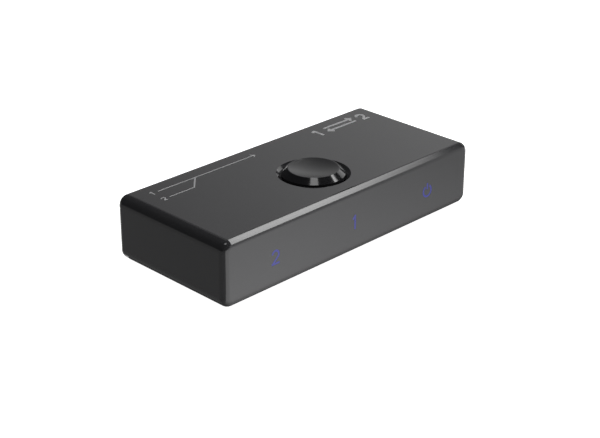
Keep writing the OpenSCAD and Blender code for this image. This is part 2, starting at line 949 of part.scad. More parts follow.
// Contacts of a video socket, in two staggered rows
module video_contacts(place) {
    tip = tongue_back + contact_tip;
    bend = video_l + contact_bend;
    color(gold)
        for (upper = [true, false])
            video_row(place, upper)
                contact(
                    contact_path(
                        tip, bend, contact_foot,
                        contact_low(tongue_z, tongue_t, contact_t, contact_proud, upper), contact_t
                    ),
                    contact_w
                );
}

// Folded metal of the power socket, with four tabs through the board
module power_shell() {
    color(steel)
        difference() {
            union() {
                power_bar(0, 0, power_l);
                for (back = power_tab_places, side = [-1, 1])
                    translate([power_x + side * power_tab_x, mouth_y - back, z_under - pin_out])
                        translate([-power_sheet / 2, -power_tab_w / 2, 0])
                            cube([power_sheet, power_tab_w, board_t + pin_out + power_mid]);
            }
            power_bar(power_sheet, -sink, power_l + 2 * sink);
        }
}

// Repeats its children at the contacts of a row of the power socket
module power_row() {
    for (i = [0 : power_contacts_n - 1])
        translate([power_x + contact_x(i, power_contacts_n, power_pitch), mouth_y, z_board])
            children();
}

// Insulator of the power socket: its tongue, the block behind it and a slot for each contact
module power_insulator() {
    block_front = power_l - block_back - power_block;
    tongue_l = block_front - power_tongue_back + sink;
    low = z_board + power_mid - power_tongue_t / 2;
    color(nylon_black)
        difference() {
            union() {
                power_bar(power_sheet + block_gap, block_front, power_block);
                translate([power_x - power_tongue_w / 2, mouth_y - power_tongue_back - tongue_l, low])
                    cube([power_tongue_w, tongue_l, power_tongue_t]);
            }
            for (upper = [true, false])
                power_row()
                    power_slot(upper);
        }
}

// Slot that one contact of the power socket lies in
module power_slot(upper) {
    low = contact_low(power_mid, power_tongue_t, power_contact_t, contact_proud, upper);
    start = power_tongue_back + contact_tip - contact_gap;
    slot_w = power_contact_w + 2 * contact_gap;
    translate([-slot_w / 2, -power_l - sink, low - contact_gap])
        cube([slot_w, power_l + sink - start, power_contact_t + 2 * contact_gap]);
}

// Contacts of the power socket: the lower row bends down inside the upper one
module power_contacts() {
    tip = power_tongue_back + contact_tip;
    color(gold)
        for (upper = [true, false])
            power_row()
                contact(
                    contact_path(
                        tip,
                        power_l + power_bend[upper ? 1 : 0],
                        power_foot[upper ? 1 : 0],
                        contact_low(power_mid, power_tongue_t, power_contact_t, contact_proud, upper),
                        power_contact_t
                    ),
                    power_contact_w
                );
}

// A plain soldered part: a box of the given size standing on the board
module board_box(at, size) {
    translate([at[0] - size[0] / 2, at[1] - size[1] / 2, z_board])
        cube(size);
}

// Video switching chip with a marked corner
module video_chip() {
    dot_d = 0.8;
    dot_deep = 0.1;
    dot_at = video_chip_at - [1, 1] * (video_chip_w / 2 - 2 * dot_d);
    color(chip_black)
        difference() {
            board_box(video_chip_at, [video_chip_w, video_chip_w, video_chip_h]);
            translate([dot_at[0], dot_at[1], z_board + video_chip_h - dot_deep])
                cylinder(d = dot_d, h = sink);
        }
}

// Control chip, held off the board by its leads
module control_chip() {
    color(chip_black)
        translate([0, 0, lead_t])
            board_box(control_chip_at, control_chip_size);
}

// One bent lead in side view: shoulder, slope and foot, reaching out from y = 0
function lead_path(high, reach) = [
    [0, high],
    [0, high + lead_t],
    [reach / 3 + lead_t, high + lead_t],
    [reach * 2 / 3, lead_t],
    [reach, lead_t],
    [reach, 0],
    [reach * 2 / 3 - lead_t, 0],
    [reach / 3, high]
];

// A row of n leads along X, reaching out towards +Y from the given point
module lead_row(at, n, pitch, w, high, reach) {
    for (i = [0 : n - 1])
        translate([at[0] + contact_x(i, n, pitch), at[1], z_board])
            contact(lead_path(high, reach), w);
}

// Leads on both long sides of the control chip
module control_chip_leads() {
    side = [0, control_chip_size[1] / 2];
    high = control_chip_size[2] / 2;
    color(steel)
        translate([control_chip_at[0], control_chip_at[1], 0])
            for (my = [0, 1])
                mirror([0, my, 0])
                    lead_row(side, 4, lead_pitch, lead_w, high, lead_reach);
}

// Voltage regulator
module regulator() {
    color(chip_black)
        translate([0, 0, lead_t])
            board_box(regulator_at, regulator_size);
}

// Three leads on one side of the regulator and its broad heat tab on the other
module regulator_leads() {
    side = [0, regulator_size[1] / 2];
    high = regulator_size[2] / 2;
    color(steel)
        translate([regulator_at[0], regulator_at[1], 0]) {
            mirror([0, 1, 0])
                lead_row(side, 3, regulator_pitch, regulator_lead_w, high, regulator_reach);
            lead_row(side, 1, regulator_pitch, heat_tab_w, high, regulator_reach);
        }
}

// Crystal in its metal can
module crystal() {
    color(steel)
        board_box(crystal_at, crystal_size);
}

// Small capacitors in two rows beside the video chip
module capacitors() {
    away = (video_chip_w + small_size[0]) / 2 + small_space;
    color(ceramic_tan)
        for (side = [-1, 1], i = [0 : 4])
            board_box(video_chip_at + [side * away, contact_x(i, 5, small_pitch)], small_size);
}

// Small resistors in a row in front of the control chip
module resistors() {
    away = control_chip_size[1] / 2 + lead_reach + small_size[1] / 2 + small_space;
    color(resistor_black)
        for (i = [0 : 5])
            board_box(control_chip_at + [contact_x(i, 6, small_pitch), -away], small_size);
}

// Two moulded storage capacitors beside the regulator
module bulk_capacitors() {
    away = regulator_size[1] / 2 + regulator_reach + bulk_space + bulk_size[1] / 2;
    color(resin_yellow)
        for (i = [0, 1])
            board_box(regulator_at - [0, away + i * (bulk_size[1] + bulk_space)], bulk_size);
}

// Surge protection arrays, one behind each video socket
module surge_arrays() {
    back = video_l + contact_bend + contact_foot + surge_size[1];
    color(chip_black)
        for (x = video_x)
            board_box([x, mouth_y - back], surge_size);
}

// One indicator lamp on the board
module lamp(place) {
    color(lamp_white)
        board_box([mark_x[place], lamp_y], [lamp_w, lamp_d, lamp_h]);
}

// Light guide: a head in the wall's pocket and an arm with a slanted end over its lamp
module light_guide(place) {
    arm_low = z_board + guide_low;
    arm_back = lamp_y + lamp_d / 2 + guide_arm / 2;
    arm_front = -inner_d / 2 + guide_flange / 2;
    color(guide_clear)
        translate([mark_x[place], 0, 0]) {
            translate([-guide_w / 2, skin_y, z_mark - guide_h / 2])
                cube([guide_w, wall - mark_skin + guide_flange, guide_h]);
            translate([-guide_arm / 2, 0, 0])
                rotate([90, 0, 90])
                    linear_extrude(guide_arm)
                        polygon([
                            [arm_front, arm_low],
                            [arm_back, arm_low],
                            [arm_back - guide_arm, arm_low + guide_arm],
                            [arm_front, arm_low + guide_arm]
                        ]);
            translate([0, peg_y, z_board])
                cylinder(d = peg_shoulder, h = guide_low + sink);
            translate([0, peg_y, z_board - peg_in])
                cylinder(d = peg_d, h = peg_in + sink);
        }
}

// One lit mark, flush with the front face
module mark(place) {
    color(mark_blue)
        mark_solid(place, 0, 0);
}

top_shell();
bottom_cover();
cover_screws();
feet();
button_cap();
switch_base();
switch_lid();
switch_plunger();
switch_dome();
switch_pins();
main_board();
board_screws();
video_shell(0);  // video_shell_1
video_shell(1);  // video_shell_2
video_shell(2);  // video_shell_3
video_insulator(0);  // video_insulator_1
video_insulator(1);  // video_insulator_2
video_insulator(2);  // video_insulator_3
video_contacts(0);  // video_contacts_1
video_contacts(1);  // video_contacts_2
video_contacts(2);  // video_contacts_3
power_shell();
power_insulator();
power_contacts();
video_chip();
control_chip();
control_chip_leads();
regulator();
regulator_leads();
crystal();
capacitors();
resistors();
bulk_capacitors();
surge_arrays();
lamp(0);  // lamp_2
lamp(1);  // lamp_1
lamp(2);  // lamp_power
light_guide(0);  // light_guide_2
light_guide(1);  // light_guide_1
light_guide(2);  // light_guide_power
mark(0);  // mark_2
mark(1);  // mark_1
mark(2);  // mark_power
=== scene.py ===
"""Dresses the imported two-way video switch box and sets it in a plain studio.

The moulded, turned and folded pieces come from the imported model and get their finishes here. What a
maker adds afterwards, such as print, solder, heat-staked heads and rounded rims, is worked out as
surfaces. A piece's sizes are millimetres and become metres when its mesh is made; the studio's are
metres.
"""

import logging
import math
from dataclasses import dataclass, field
from enum import Enum
from functools import cache

import bmesh
import bpy
import numpy as np
from mathutils import Euler, Matrix, Quaternion, Vector


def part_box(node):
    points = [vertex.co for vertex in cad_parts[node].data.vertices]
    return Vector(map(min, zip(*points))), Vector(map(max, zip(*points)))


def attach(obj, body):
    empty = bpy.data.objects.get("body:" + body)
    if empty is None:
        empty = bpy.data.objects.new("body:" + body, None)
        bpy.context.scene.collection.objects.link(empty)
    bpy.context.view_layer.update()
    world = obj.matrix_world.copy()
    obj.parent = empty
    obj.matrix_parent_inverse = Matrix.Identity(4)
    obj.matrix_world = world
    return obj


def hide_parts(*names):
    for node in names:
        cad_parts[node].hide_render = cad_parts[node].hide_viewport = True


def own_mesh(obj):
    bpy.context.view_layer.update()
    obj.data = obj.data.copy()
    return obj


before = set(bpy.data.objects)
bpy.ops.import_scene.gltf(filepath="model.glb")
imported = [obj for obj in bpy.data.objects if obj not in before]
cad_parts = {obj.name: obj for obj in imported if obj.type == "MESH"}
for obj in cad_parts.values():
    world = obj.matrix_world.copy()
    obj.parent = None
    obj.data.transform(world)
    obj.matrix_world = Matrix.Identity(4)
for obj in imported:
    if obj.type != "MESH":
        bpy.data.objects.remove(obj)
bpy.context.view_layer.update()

LOG = logging.getLogger("switch_box")
MM = 0.001
CREASE_DEG = 35.0
# Points along a short curve, along a long one and along half a turn.
SHORT_CURVE = 8
LONG_CURVE = 12
HALF_TURN = 17
# Angle at which a low dome is cut off flat.
DOME_DEG = 80.0
# Detail of noise patterns, the values that most of a noise lies between, and blotches of gloss in a cloud.
CLOUD_DETAIL = 3.0
FINE_DETAIL = 2.0
NOISE_SPAN = (0.3, 0.7)
BLOTCHES_PER_CLOUD = 3
Pair = tuple[float, float]
Vec3 = tuple[float, float, float]
Colour = tuple[float, float, float, float]
Material = bpy.types.Material
Object = bpy.types.Object
Node = bpy.types.Node
Tree = bpy.types.NodeTree
Socket = bpy.types.NodeSocket


class Slot(Enum):
    """Material slots of the record that new pieces are listed with."""

    SHELL = "shell_plastic"
    NYLON = "black_nylon"
    NICKEL = "nickel_sheet"
    TIN = "tinned_leads"
    LAMP = "lamp_resin"
    GOLD = "gold_contacts"


class Ends(Enum):
    """Whether a path runs round to its start or stops at two ends."""

    OPEN = "open"
    CLOSED = "closed"


class Plane(Enum):
    """Plane that a path is drawn in, as the directions of its two axes and of its front."""

    TOP = ((1.0, 0.0, 0.0), (0.0, 1.0, 0.0), (0.0, 0.0, 1.0))
    BACK = ((1.0, 0.0, 0.0), (0.0, 0.0, 1.0), (0.0, 1.0, 0.0))


class Numeral(Enum):
    """Numerals that tell the two inputs apart."""

    ONE = 1
    TWO = 2

    def lines(self) -> list[np.ndarray]:
        """Draws the numeral's middle lines in a box one high, from its lower left corner.

        The one is a stem and a flag. The two is a foot and a bow, which is an arc about (0.31, 0.64):
        x = 0.31 + 0.27 cos t and y = 0.64 + 0.27 sin t, with t from 165 down to -38 degrees.

        Returns:
            One array of points for each line.
        """
        if self is Numeral.ONE:
            return [np.array([(0.36, 0.0), (0.36, 1.0)]), np.array([(0.08, 0.74), (0.33, 0.93)])]
        turn = np.radians(np.linspace(165.0, -38.0, 24))
        bow = np.column_stack([0.31 + 0.27 * np.cos(turn), 0.64 + 0.27 * np.sin(turn)])
        return [np.array([(0.04, 0.09), (0.62, 0.09)]), np.concatenate([bow, [(0.1, 0.09)]])]


@dataclass
class Shell:
    """A closed skin.

    Attributes:
        points: Corner points in millimetres, one row each.
        faces: Blocks of faces; each row of a block names the corners of one face.
    """

    points: np.ndarray
    faces: list[np.ndarray]


def skin(grid: np.ndarray, ends: Ends) -> Shell:
    """Skins a grid of points whose columns run round and whose rows run on.

    Each quad joins point (row, column) to (row, column + 1), (row + 1, column + 1) and
    (row + 1, column), and the last column is joined to the first.

    Args:
        grid: Points in millimetres, rows by columns by three.
        ends: CLOSED joins the last row to the first too; OPEN shuts both with one flat face each.

    Returns:
        The closed skin.
    """
    rows, columns = grid.shape[:2]
    here = np.arange(rows * columns).reshape(rows, columns)
    beside = np.roll(here, -1, axis=1)
    quads = np.stack([here, beside, np.roll(beside, -1, axis=0), np.roll(here, -1, axis=0)], axis=-1)
    if ends is Ends.CLOSED:
        return Shell(grid.reshape(-1, 3), [quads.reshape(-1, 4)])
    return Shell(grid.reshape(-1, 3), [quads[:-1].reshape(-1, 4), here[:1, ::-1], here[-1:]])


def mitres(path: np.ndarray, ends: Ends) -> np.ndarray:
    """Gives the leftward vector at each point of a flat path, lengthened at its corners.

    With a and b the left normals of the lines before and after a point, the vector is
    2 (a + b) / |a + b| squared, so that a line set off by it keeps its distance from both.

    Args:
        path: Points of the path, one row of two each.
        ends: Whether the path is closed.

    Returns:
        One row of two for each point.
    """
    ahead = np.roll(path, -1, axis=0) - path
    behind = path - np.roll(path, 1, axis=0)
    if ends is Ends.OPEN:
        ahead[-1] = behind[-1]
        behind[0] = ahead[0]
    ahead = ahead / np.linalg.norm(ahead, axis=1, keepdims=True)
    behind = behind / np.linalg.norm(behind, axis=1, keepdims=True)
    both = (ahead + behind)[:, ::-1] * (-1.0, 1.0)
    return 2.0 * both / np.sum(both**2, axis=1, keepdims=True)


def sweep(path: np.ndarray, section: np.ndarray, ends: Ends, plane: Plane, origin: Vec3) -> Shell:
    """Carries a section along a flat path, mitred at its corners.

    Point (i, j) is path point i, plus the section's first number times the leftward vector there, plus
    its second number along the plane's front.

    Args:
        path: Points of the path in millimetres, one row of two each.
        section: Points of the section, as distances to the left of the path and in front of it.
        ends: Whether the path is closed.
        plane: Plane of the path.
        origin: Where the plane's zero is.

    Returns:
        The closed skin.
    """
    flat = path[:, None, :] + section[None, :, :1] * mitres(path, ends)[:, None, :]
    front = np.broadcast_to(section[None, :, 1:], (len(path), len(section), 1))
    return skin(np.array(origin) + np.concatenate([flat, front], axis=-1) @ np.array(plane.value), ends)


def turned(profile: np.ndarray, centre: Vec3, squeeze: Pair = (1.0, 1.0), around: int = 24) -> Shell:
    """Turns a profile of radii r and heights h about an upright line through a point.

    x = a r cos t, y = b r sin t and z = h, with t once round and a, b the two squeeze factors.

    Args:
        profile: Rows of radius and height in millimetres.
        centre: Point on the line, where heights are zero.
        squeeze: Factors on the radius along X and Y.
        around: Points in one turn.

    Returns:
        The closed skin.
    """
    turn = np.linspace(0.0, 2.0 * np.pi, around, endpoint=False)
    radius, height = profile.T
    x = squeeze[0] * np.outer(radius, np.cos(turn))
    y = squeeze[1] * np.outer(radius, np.sin(turn))
    z = np.repeat(height[:, None], around, axis=1)
    return skin(np.stack([x, y, z], axis=-1) + np.array(centre), Ends.OPEN)


def ring(radius: float, count: int = 12) -> np.ndarray:
    """Gives points on a circle about zero, one row of two each."""
    turn = np.linspace(0.0, 2.0 * np.pi, count, endpoint=False)
    return radius * np.column_stack([np.cos(turn), np.sin(turn)])


def low_dome(radius: float, rise: float) -> np.ndarray:
    """Gives the profile of a low dome: radius R cos a and height H sin a, with a from 0 to DOME_DEG."""
    angle = np.radians(np.linspace(0.0, DOME_DEG, SHORT_CURVE))
    return np.column_stack([radius * np.cos(angle), rise * np.sin(angle)])


def node_box(name: str) -> np.ndarray:
    """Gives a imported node's lowest and highest corner in millimetres, one row each."""
    return np.array(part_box(name)) / MM


def link_mesh(name: str, points: np.ndarray, faces: list[list[int]], material: Material) -> Object:
    """Makes an object of points and faces and links it to the scene.

    Args:
        name: Name of the object.
        points: Corner points in metres, one row each.
        faces: The corners of each face.
        material: Material of the whole mesh.

    Returns:
        The object, at the origin.
    """
    mesh = bpy.data.meshes.new(name)
    mesh.from_pydata(points, [], faces)
    mesh.materials.append(material)
    made = bpy.data.objects.new(name, mesh)
    bpy.context.scene.collection.objects.link(made)
    return made


def make_mesh(name: str, shells: list[Shell], material: Material) -> Object:
    """Puts skins into one mesh, turns its faces outwards and shades it smooth up to its creases.

    Args:
        name: Name of the object.
        shells: Skins, in millimetres.
        material: Material of the whole mesh.

    Returns:
        The object, at the origin.
    """
    starts = np.cumsum([0] + [len(shell.points) for shell in shells])
    blocks = [block + start for shell, start in zip(shells, starts) for block in shell.faces]
    faces = [row for block in blocks for row in block.tolist()]
    made = link_mesh(name, np.concatenate([shell.points for shell in shells]) * MM, faces, material)
    work = bmesh.new()
    work.from_mesh(made.data)
    bmesh.ops.recalc_face_normals(work, faces=work.faces)
    work.to_mesh(made.data)
    work.free()
    made.data.shade_smooth()
    made.data.set_sharp_from_angle(angle=math.radians(CREASE_DEG))
    return made


def linear(tint: str) -> Colour:
    """Turns an sRGB hex colour into the linear values that shaders use.

    Args:
        tint: Colour such as "#262626".

    Returns:
        Red, green, blue and a full alpha.
    """
    parts = np.array([int(tint[i : i + 2], 16) for i in (1, 3, 5)]) / 255
    light = np.where(parts <= 0.04045, parts / 12.92, ((parts + 0.055) / 1.055) ** 2.4)
    return (float(light[0]), float(light[1]), float(light[2]), 1.0)


def per_metre(size_mm: float) -> float:
    """Gives the texture scale that repeats a pattern once in a size given in millimetres."""
    return 1.0 / (size_mm * MM)


def add_node(tree: Tree, kind: str, settings: dict[str, object] | None = None, **inputs: object) -> Node:
    """Adds one shader node, sets it and links it.

    Args:
        tree: Node tree that gets the node.
        kind: Blender's type name of the node.
        settings: Properties of the node itself.
        inputs: Values or output sockets for its input sockets, with _ for a space in their names.

    Returns:
        The new node.
    """
    made = tree.nodes.new(kind)
    for name, value in (settings or {}).items():
        setattr(made, name, value)
    for name, value in inputs.items():
        socket = made.inputs[name.replace("_", " ")]
        if isinstance(value, Socket):
            tree.links.new(value, socket)
        else:
            socket.default_value = value
    return made


class Spots(Enum):
    """Shape of the spots of a pattern, as settings of the texture that places them."""

    ROUND = {}
    SQUARE = {"distance": "CHEBYCHEV", "voronoi_dimensions": "2D"}


@dataclass(frozen=True)
class Finish:
    """A moulded, cast or plated surface: two close tones in clouds, uneven gloss and a fine grain.

    Attributes:
        name: Common name of the material and of how its surface was made.
        tone: Main colour as sRGB hex.
        shade: Second colour of the clouds as sRGB hex.
        cloud_mm: Size of the clouds.
        roughness: Middle roughness.
        spread: How far the roughness strays either way.
        grain_mm: Spacing of the grain.
        relief_mm: Height of the grain.
        ior: Index of refraction.
        metallic: One for a metal, else zero.
        stretch: Factors that draw the grain out along X, Y and Z.
        glow: Colour of the light that a lamp in or behind it gives, as sRGB hex.
        strength: Strength of that light.
        clearness: Share of the light that passes through it.
    """

    name: str
    tone: str
    shade: str
    cloud_mm: float = 8.0
    roughness: float = 0.3
    spread: float = 0.04
    grain_mm: float = 0.3
    relief_mm: float = 0.002
    ior: float = 1.5
    metallic: float = 0.0
    stretch: Vec3 = (1.0, 1.0, 1.0)
    glow: str = "#ffffff"
    strength: float = 0.0
    clearness: float = 0.0

    @cache
    def make(self) -> Material:
        """Builds the material when it is first asked for, and hands out the same one after that.

        Constants are set on the shader; colour, gloss and grain come from patterns.

        Returns:
            A material that reads Object coordinates.
        """
        material = bpy.data.materials.new(self.name)
        material.use_nodes = True
        tree = material.node_tree
        shader = tree.nodes["Principled BSDF"]
        constants = {
            "IOR": self.ior,
            "Metallic": self.metallic,
            "Emission Color": linear(self.glow),
            "Emission Strength": self.strength,
            "Transmission Weight": self.clearness,
        }
        for name, value in constants.items():
            shader.inputs[name].default_value = value
        place = add_node(tree, "ShaderNodeTexCoord").outputs["Object"]
        scale = per_metre(self.cloud_mm) * BLOTCHES_PER_CLOUD
        blotch = add_node(tree, "ShaderNodeTexNoise", Vector=place, Scale=scale, Detail=FINE_DETAIL)
        gloss = add_node(
            tree,
            "ShaderNodeMapRange",
            Value=blotch.outputs["Fac"],
            From_Min=NOISE_SPAN[0],
            From_Max=NOISE_SPAN[1],
            To_Min=self.roughness - self.spread,
            To_Max=self.roughness + self.spread,
        )
        tree.links.new(self.colour(tree, place), shader.inputs["Base Color"])
        tree.links.new(gloss.outputs["Result"], shader.inputs["Roughness"])
        tree.links.new(self.grain(tree, place), shader.inputs["Normal"])
        return material

    def colour(self, tree: Tree, place: Socket) -> Socket:
        """Mixes the two tones by soft clouds.

        Args:
            tree: Node tree of the material.
            place: Object coordinates.

        Returns:
            The colour's output socket.
        """
        scale = per_metre(self.cloud_mm)
        clouds = add_node(tree, "ShaderNodeTexNoise", Vector=place, Scale=scale, Detail=CLOUD_DETAIL)
        mix = add_node(
            tree,
            "ShaderNodeMix",
            {"data_type": "RGBA"},
            Factor=clouds.outputs["Fac"],
            A=linear(self.tone),
            B=linear(self.shade),
        )
        return mix.outputs["Result"]

    def grain(self, tree: Tree, place: Socket) -> Socket:
        """Raises a fine grain, drawn out by the stretch factors.

        Args:
            tree: Node tree of the material.
            place: Object coordinates.

        Returns:
            The normal's output socket.
        """
        drawn = add_node(tree, "ShaderNodeMapping", Vector=place, Scale=self.stretch).outputs["Vector"]
        scale = per_metre(self.grain_mm)
        noise = add_node(tree, "ShaderNodeTexNoise", Vector=drawn, Scale=scale, Detail=FINE_DETAIL)
        rise = self.relief_mm * MM
        bump = add_node(tree, "ShaderNodeBump", Height=noise.outputs["Fac"], Distance=rise)
        return bump.outputs["Normal"]


@dataclass(frozen=True)
class Spotted(Finish):
    """A clouded surface with spots of another colour.

    Attributes:
        spot: Colour of the spots as sRGB hex.
        spot_mm: Spacing of the spots.
        edge: Where a spot starts to fade out and where it ends, as shares of the spacing.
        spots: Shape of the spots.
    """

    spot: str = "#ffffff"
    spot_mm: float = 1.0
    edge: Pair = (0.1, 0.2)
    spots: Spots = Spots.ROUND

    def colour(self, tree: Tree, place: Socket) -> Socket:
        """Lays the spots on the clouded ground.

        Args:
            tree: Node tree of the material.
            place: Object coordinates.

        Returns:
            The colour's output socket.
        """
        scale = per_metre(self.spot_mm)
        cells = add_node(tree, "ShaderNodeTexVoronoi", self.spots.value, Vector=place, Scale=scale)
        inside = add_node(
            tree,
            "ShaderNodeMapRange",
            Value=cells.outputs["Distance"],
            From_Min=self.edge[0],
            From_Max=self.edge[1],
            To_Min=1.0,
            To_Max=0.0,
        )
        mix = add_node(
            tree,
            "ShaderNodeMix",
            {"data_type": "RGBA"},
            Factor=inside.outputs["Result"],
            A=super().colour(tree, place),
            B=linear(self.spot),
        )
        return mix.outputs["Result"]


@dataclass(frozen=True)
class Woven(Spotted):
    """Woven glass laminate with copper lands under a clear resist.

    Attributes:
        thread_mm: Spacing of the glass threads.
    """

    thread_mm: float = 0.5

    def grain(self, tree: Tree, place: Socket) -> Socket:
        """Raises the weave: two wave patterns that cross, each one thread apart.

        Args:
            tree: Node tree of the material.
            place: Object coordinates.

        Returns:
            The normal's output socket.
        """
        # A wave pattern of scale one repeats every tenth of pi.
        scale = per_metre(self.thread_mm) * math.pi / 10
        rise = self.relief_mm * MM
        below: dict[str, Socket] = {}
        for axis in ("X", "Y"):
            wave = add_node(tree, "ShaderNodeTexWave", {"bands_direction": axis}, Vector=place, Scale=scale)
            bump = add_node(tree, "ShaderNodeBump", Height=wave.outputs["Fac"], Distance=rise, **below)
            below = {"Normal": bump.outputs["Normal"]}
        return below["Normal"]


# After its name and two tones, each finish gives the size of its clouds, its roughness and how far that
# strays, and the spacing and height of its grain.

# ABS from a finely blasted mould: nearly black, with reflections that are only a little softened.
SATIN_ABS = Finish("satin_moulded_abs", "#2f2f31", "#333335", 14.0, 0.08, 0.01, 0.35, 0.0004, ior=1.53)
# ABS from a polished mould: black, with sharp reflections on its slanted flank.
POLISHED_ABS = Finish("polished_moulded_abs", "#1c1c1e", "#202022", 10.0, 0.12, 0.01, 0.5, 0.0002, ior=1.53)
# Pad-printed ink: a thin light grey film, dull and a little uneven where the pad left it.
PAD_INK = Finish("pad_printed_ink", "#b2b2b3", "#a4a4a6", 0.7, 0.5, 0.06, 0.15, 0.001)
# Moulded rubber: dull, with a dusty bloom.
FOOT_RUBBER = Finish("moulded_rubber", "#1a1a1a", "#242423", 2.0, 0.72, 0.08, 0.25, 0.004, ior=1.52)
# Zinc plate over steel: bluish grey, slightly cloudy.
ZINC_PLATE = Finish("zinc_plated_steel", "#b4b8be", "#9fa3aa", 1.2, 0.3, 0.08, 0.12, 0.001, metallic=1.0)
# Nickel plate over rolled sheet: warm silver with fine lines along the rolling direction. Real lines
# are finer; these are drawn 0.08 mm apart so that they show.
NICKEL_SHEET = Finish(
    "nickel_plated_rolled_sheet", "#c6c3bc", "#b3afa7", 2.5, 0.26, 0.06, 0.08, 0.0012,
    metallic=1.0, stretch=(1.0, 0.08, 1.0),
)
# Tin plate: soft grey with a frosted look.
TIN_PLATE = Finish("tin_plated_copper", "#c2c4c4", "#a9acad", 0.8, 0.34, 0.1, 0.1, 0.001, metallic=1.0)
# Solder left to freeze: bright, with slow ripples.
SOLDER = Finish("frozen_solder", "#cdcecd", "#b7b9ba", 0.5, 0.2, 0.06, 0.4, 0.006, metallic=1.0)
# Thin gold plate over spring bronze: warm yellow, nearly bright.
GOLD_PLATE = Finish("gold_plated_bronze", "#e2bd63", "#cfa44a", 0.9, 0.22, 0.05, 0.1, 0.0006, metallic=1.0)
# Glass-filled nylon: dull black, with pale specks where fibres lie at the surface. Real fibres are
# 0.01 mm thick; the specks are drawn larger so that they show.
FILLED_NYLON = Spotted(
    "moulded_glass_filled_nylon", "#1d1d1e", "#29292a", 0.8, 0.48, 0.08, 0.12, 0.002, ior=1.53,
    spot="#58585a", spot_mm=0.45, edge=(0.1, 0.2),
)
# Glass laminate under green resist: lighter over the square copper lands, and the weave shows faintly.
RESIST_LAMINATE = Woven(
    "resist_coated_glass_laminate", "#14512f", "#175a35", 1.1, 0.34, 0.06, relief_mm=0.004, ior=1.55,
    spot="#2a7d4c", spot_mm=3.2, edge=(0.42, 0.46), spots=Spots.SQUARE,
)
# Moulded epoxy of chips: dull charcoal.
EPOXY = Finish("moulded_epoxy", "#202124", "#2c2d31", 0.6, 0.55, 0.06, 0.12, 0.002, ior=1.55)
# Fired ceramic of small capacitors: tan, slightly mottled.
FIRED_CERAMIC = Finish("fired_ceramic", "#a98a62", "#94764f", 0.4, 0.5, 0.06, 0.1, 0.002, ior=1.6)
# Moulded resin of storage capacitors: mustard yellow, dull.
YELLOW_RESIN = Finish("moulded_yellow_resin", "#c99a35", "#b98725", 0.8, 0.45, 0.06, 0.12, 0.002)
# Cast lamp resin: creamy from its phosphor, with the light of a dim blue lamp.
LAMP_RESIN = Finish(
    "cast_phosphor_resin", "#f2ecc8", "#e6da9f", 0.4, 0.35, 0.05, 0.1, 0.001, glow="#5a6cff", strength=0.6
)
# Acrylic with polished faces: clear and bright at its edges.
CLEAR_ACRYLIC = Finish(
    "polished_acrylic", "#eef3fa", "#e2eaf4", 3.0, 0.06, 0.02, 0.4, 0.0004, ior=1.49, clearness=0.9
)
# Smoked blue resin with a dim lamp behind it: almost as dark as the case, with a weak blue light.
LIT_BLUE = Finish(
    "moulded_smoked_blue_resin", "#26283a", "#2b2d44", 1.0, 0.3, 0.04, 0.2, 0.0006,
    glow="#2430ff", strength=0.2,
)


@dataclass
class Piece:
    """A new piece, ready to be made.

    Attributes:
        name: Name of the piece.
        shells: Its skins, in millimetres.
        finish: Its finish.
        slot: The record's material slot listed for it; not used.
    """

    name: str
    shells: list[Shell]
    finish: Finish
    slot: Slot


@dataclass
class SubAssembly:
    """A group of pieces that a maker puts together in one step.

    Attributes:
        title: Plain name for the log.
        body: Body of the frame that its new pieces ride on.
    """

    title: str = "group"
    body: str = "case"

    def finishes(self) -> dict[str, Finish]:
        """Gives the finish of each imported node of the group."""
        return {}

    def pieces(self) -> list[Piece]:
        """Lists the new pieces of the group; some have none."""
        return []

    def make(self) -> None:
        """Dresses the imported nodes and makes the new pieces."""
        for name, finish in self.finishes().items():
            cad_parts[name].material_slots[0].material = finish.make()
            LOG.info("%s: %s in %s", self.title, name, finish.name)
        for piece in self.pieces():
            self.put(piece)

    def put(self, piece: Piece) -> Object:
        """Makes a new piece and lets it ride on the group's body.

        Args:
            piece: What to make.

        Returns:
            The piece's object.
        """
        made = make_mesh(piece.name, piece.shells, piece.finish.make())
        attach(made, self.body)
        LOG.info("%s: new %s in %s", self.title, piece.name, piece.finish.name)
        return made


@dataclass
class Stroke:
    """One line of print.

    Attributes:
        points: Its middle line on the top face in millimetres, one row of two each.
        width: Its width in millimetres.
    """

    points: np.ndarray
    width: float


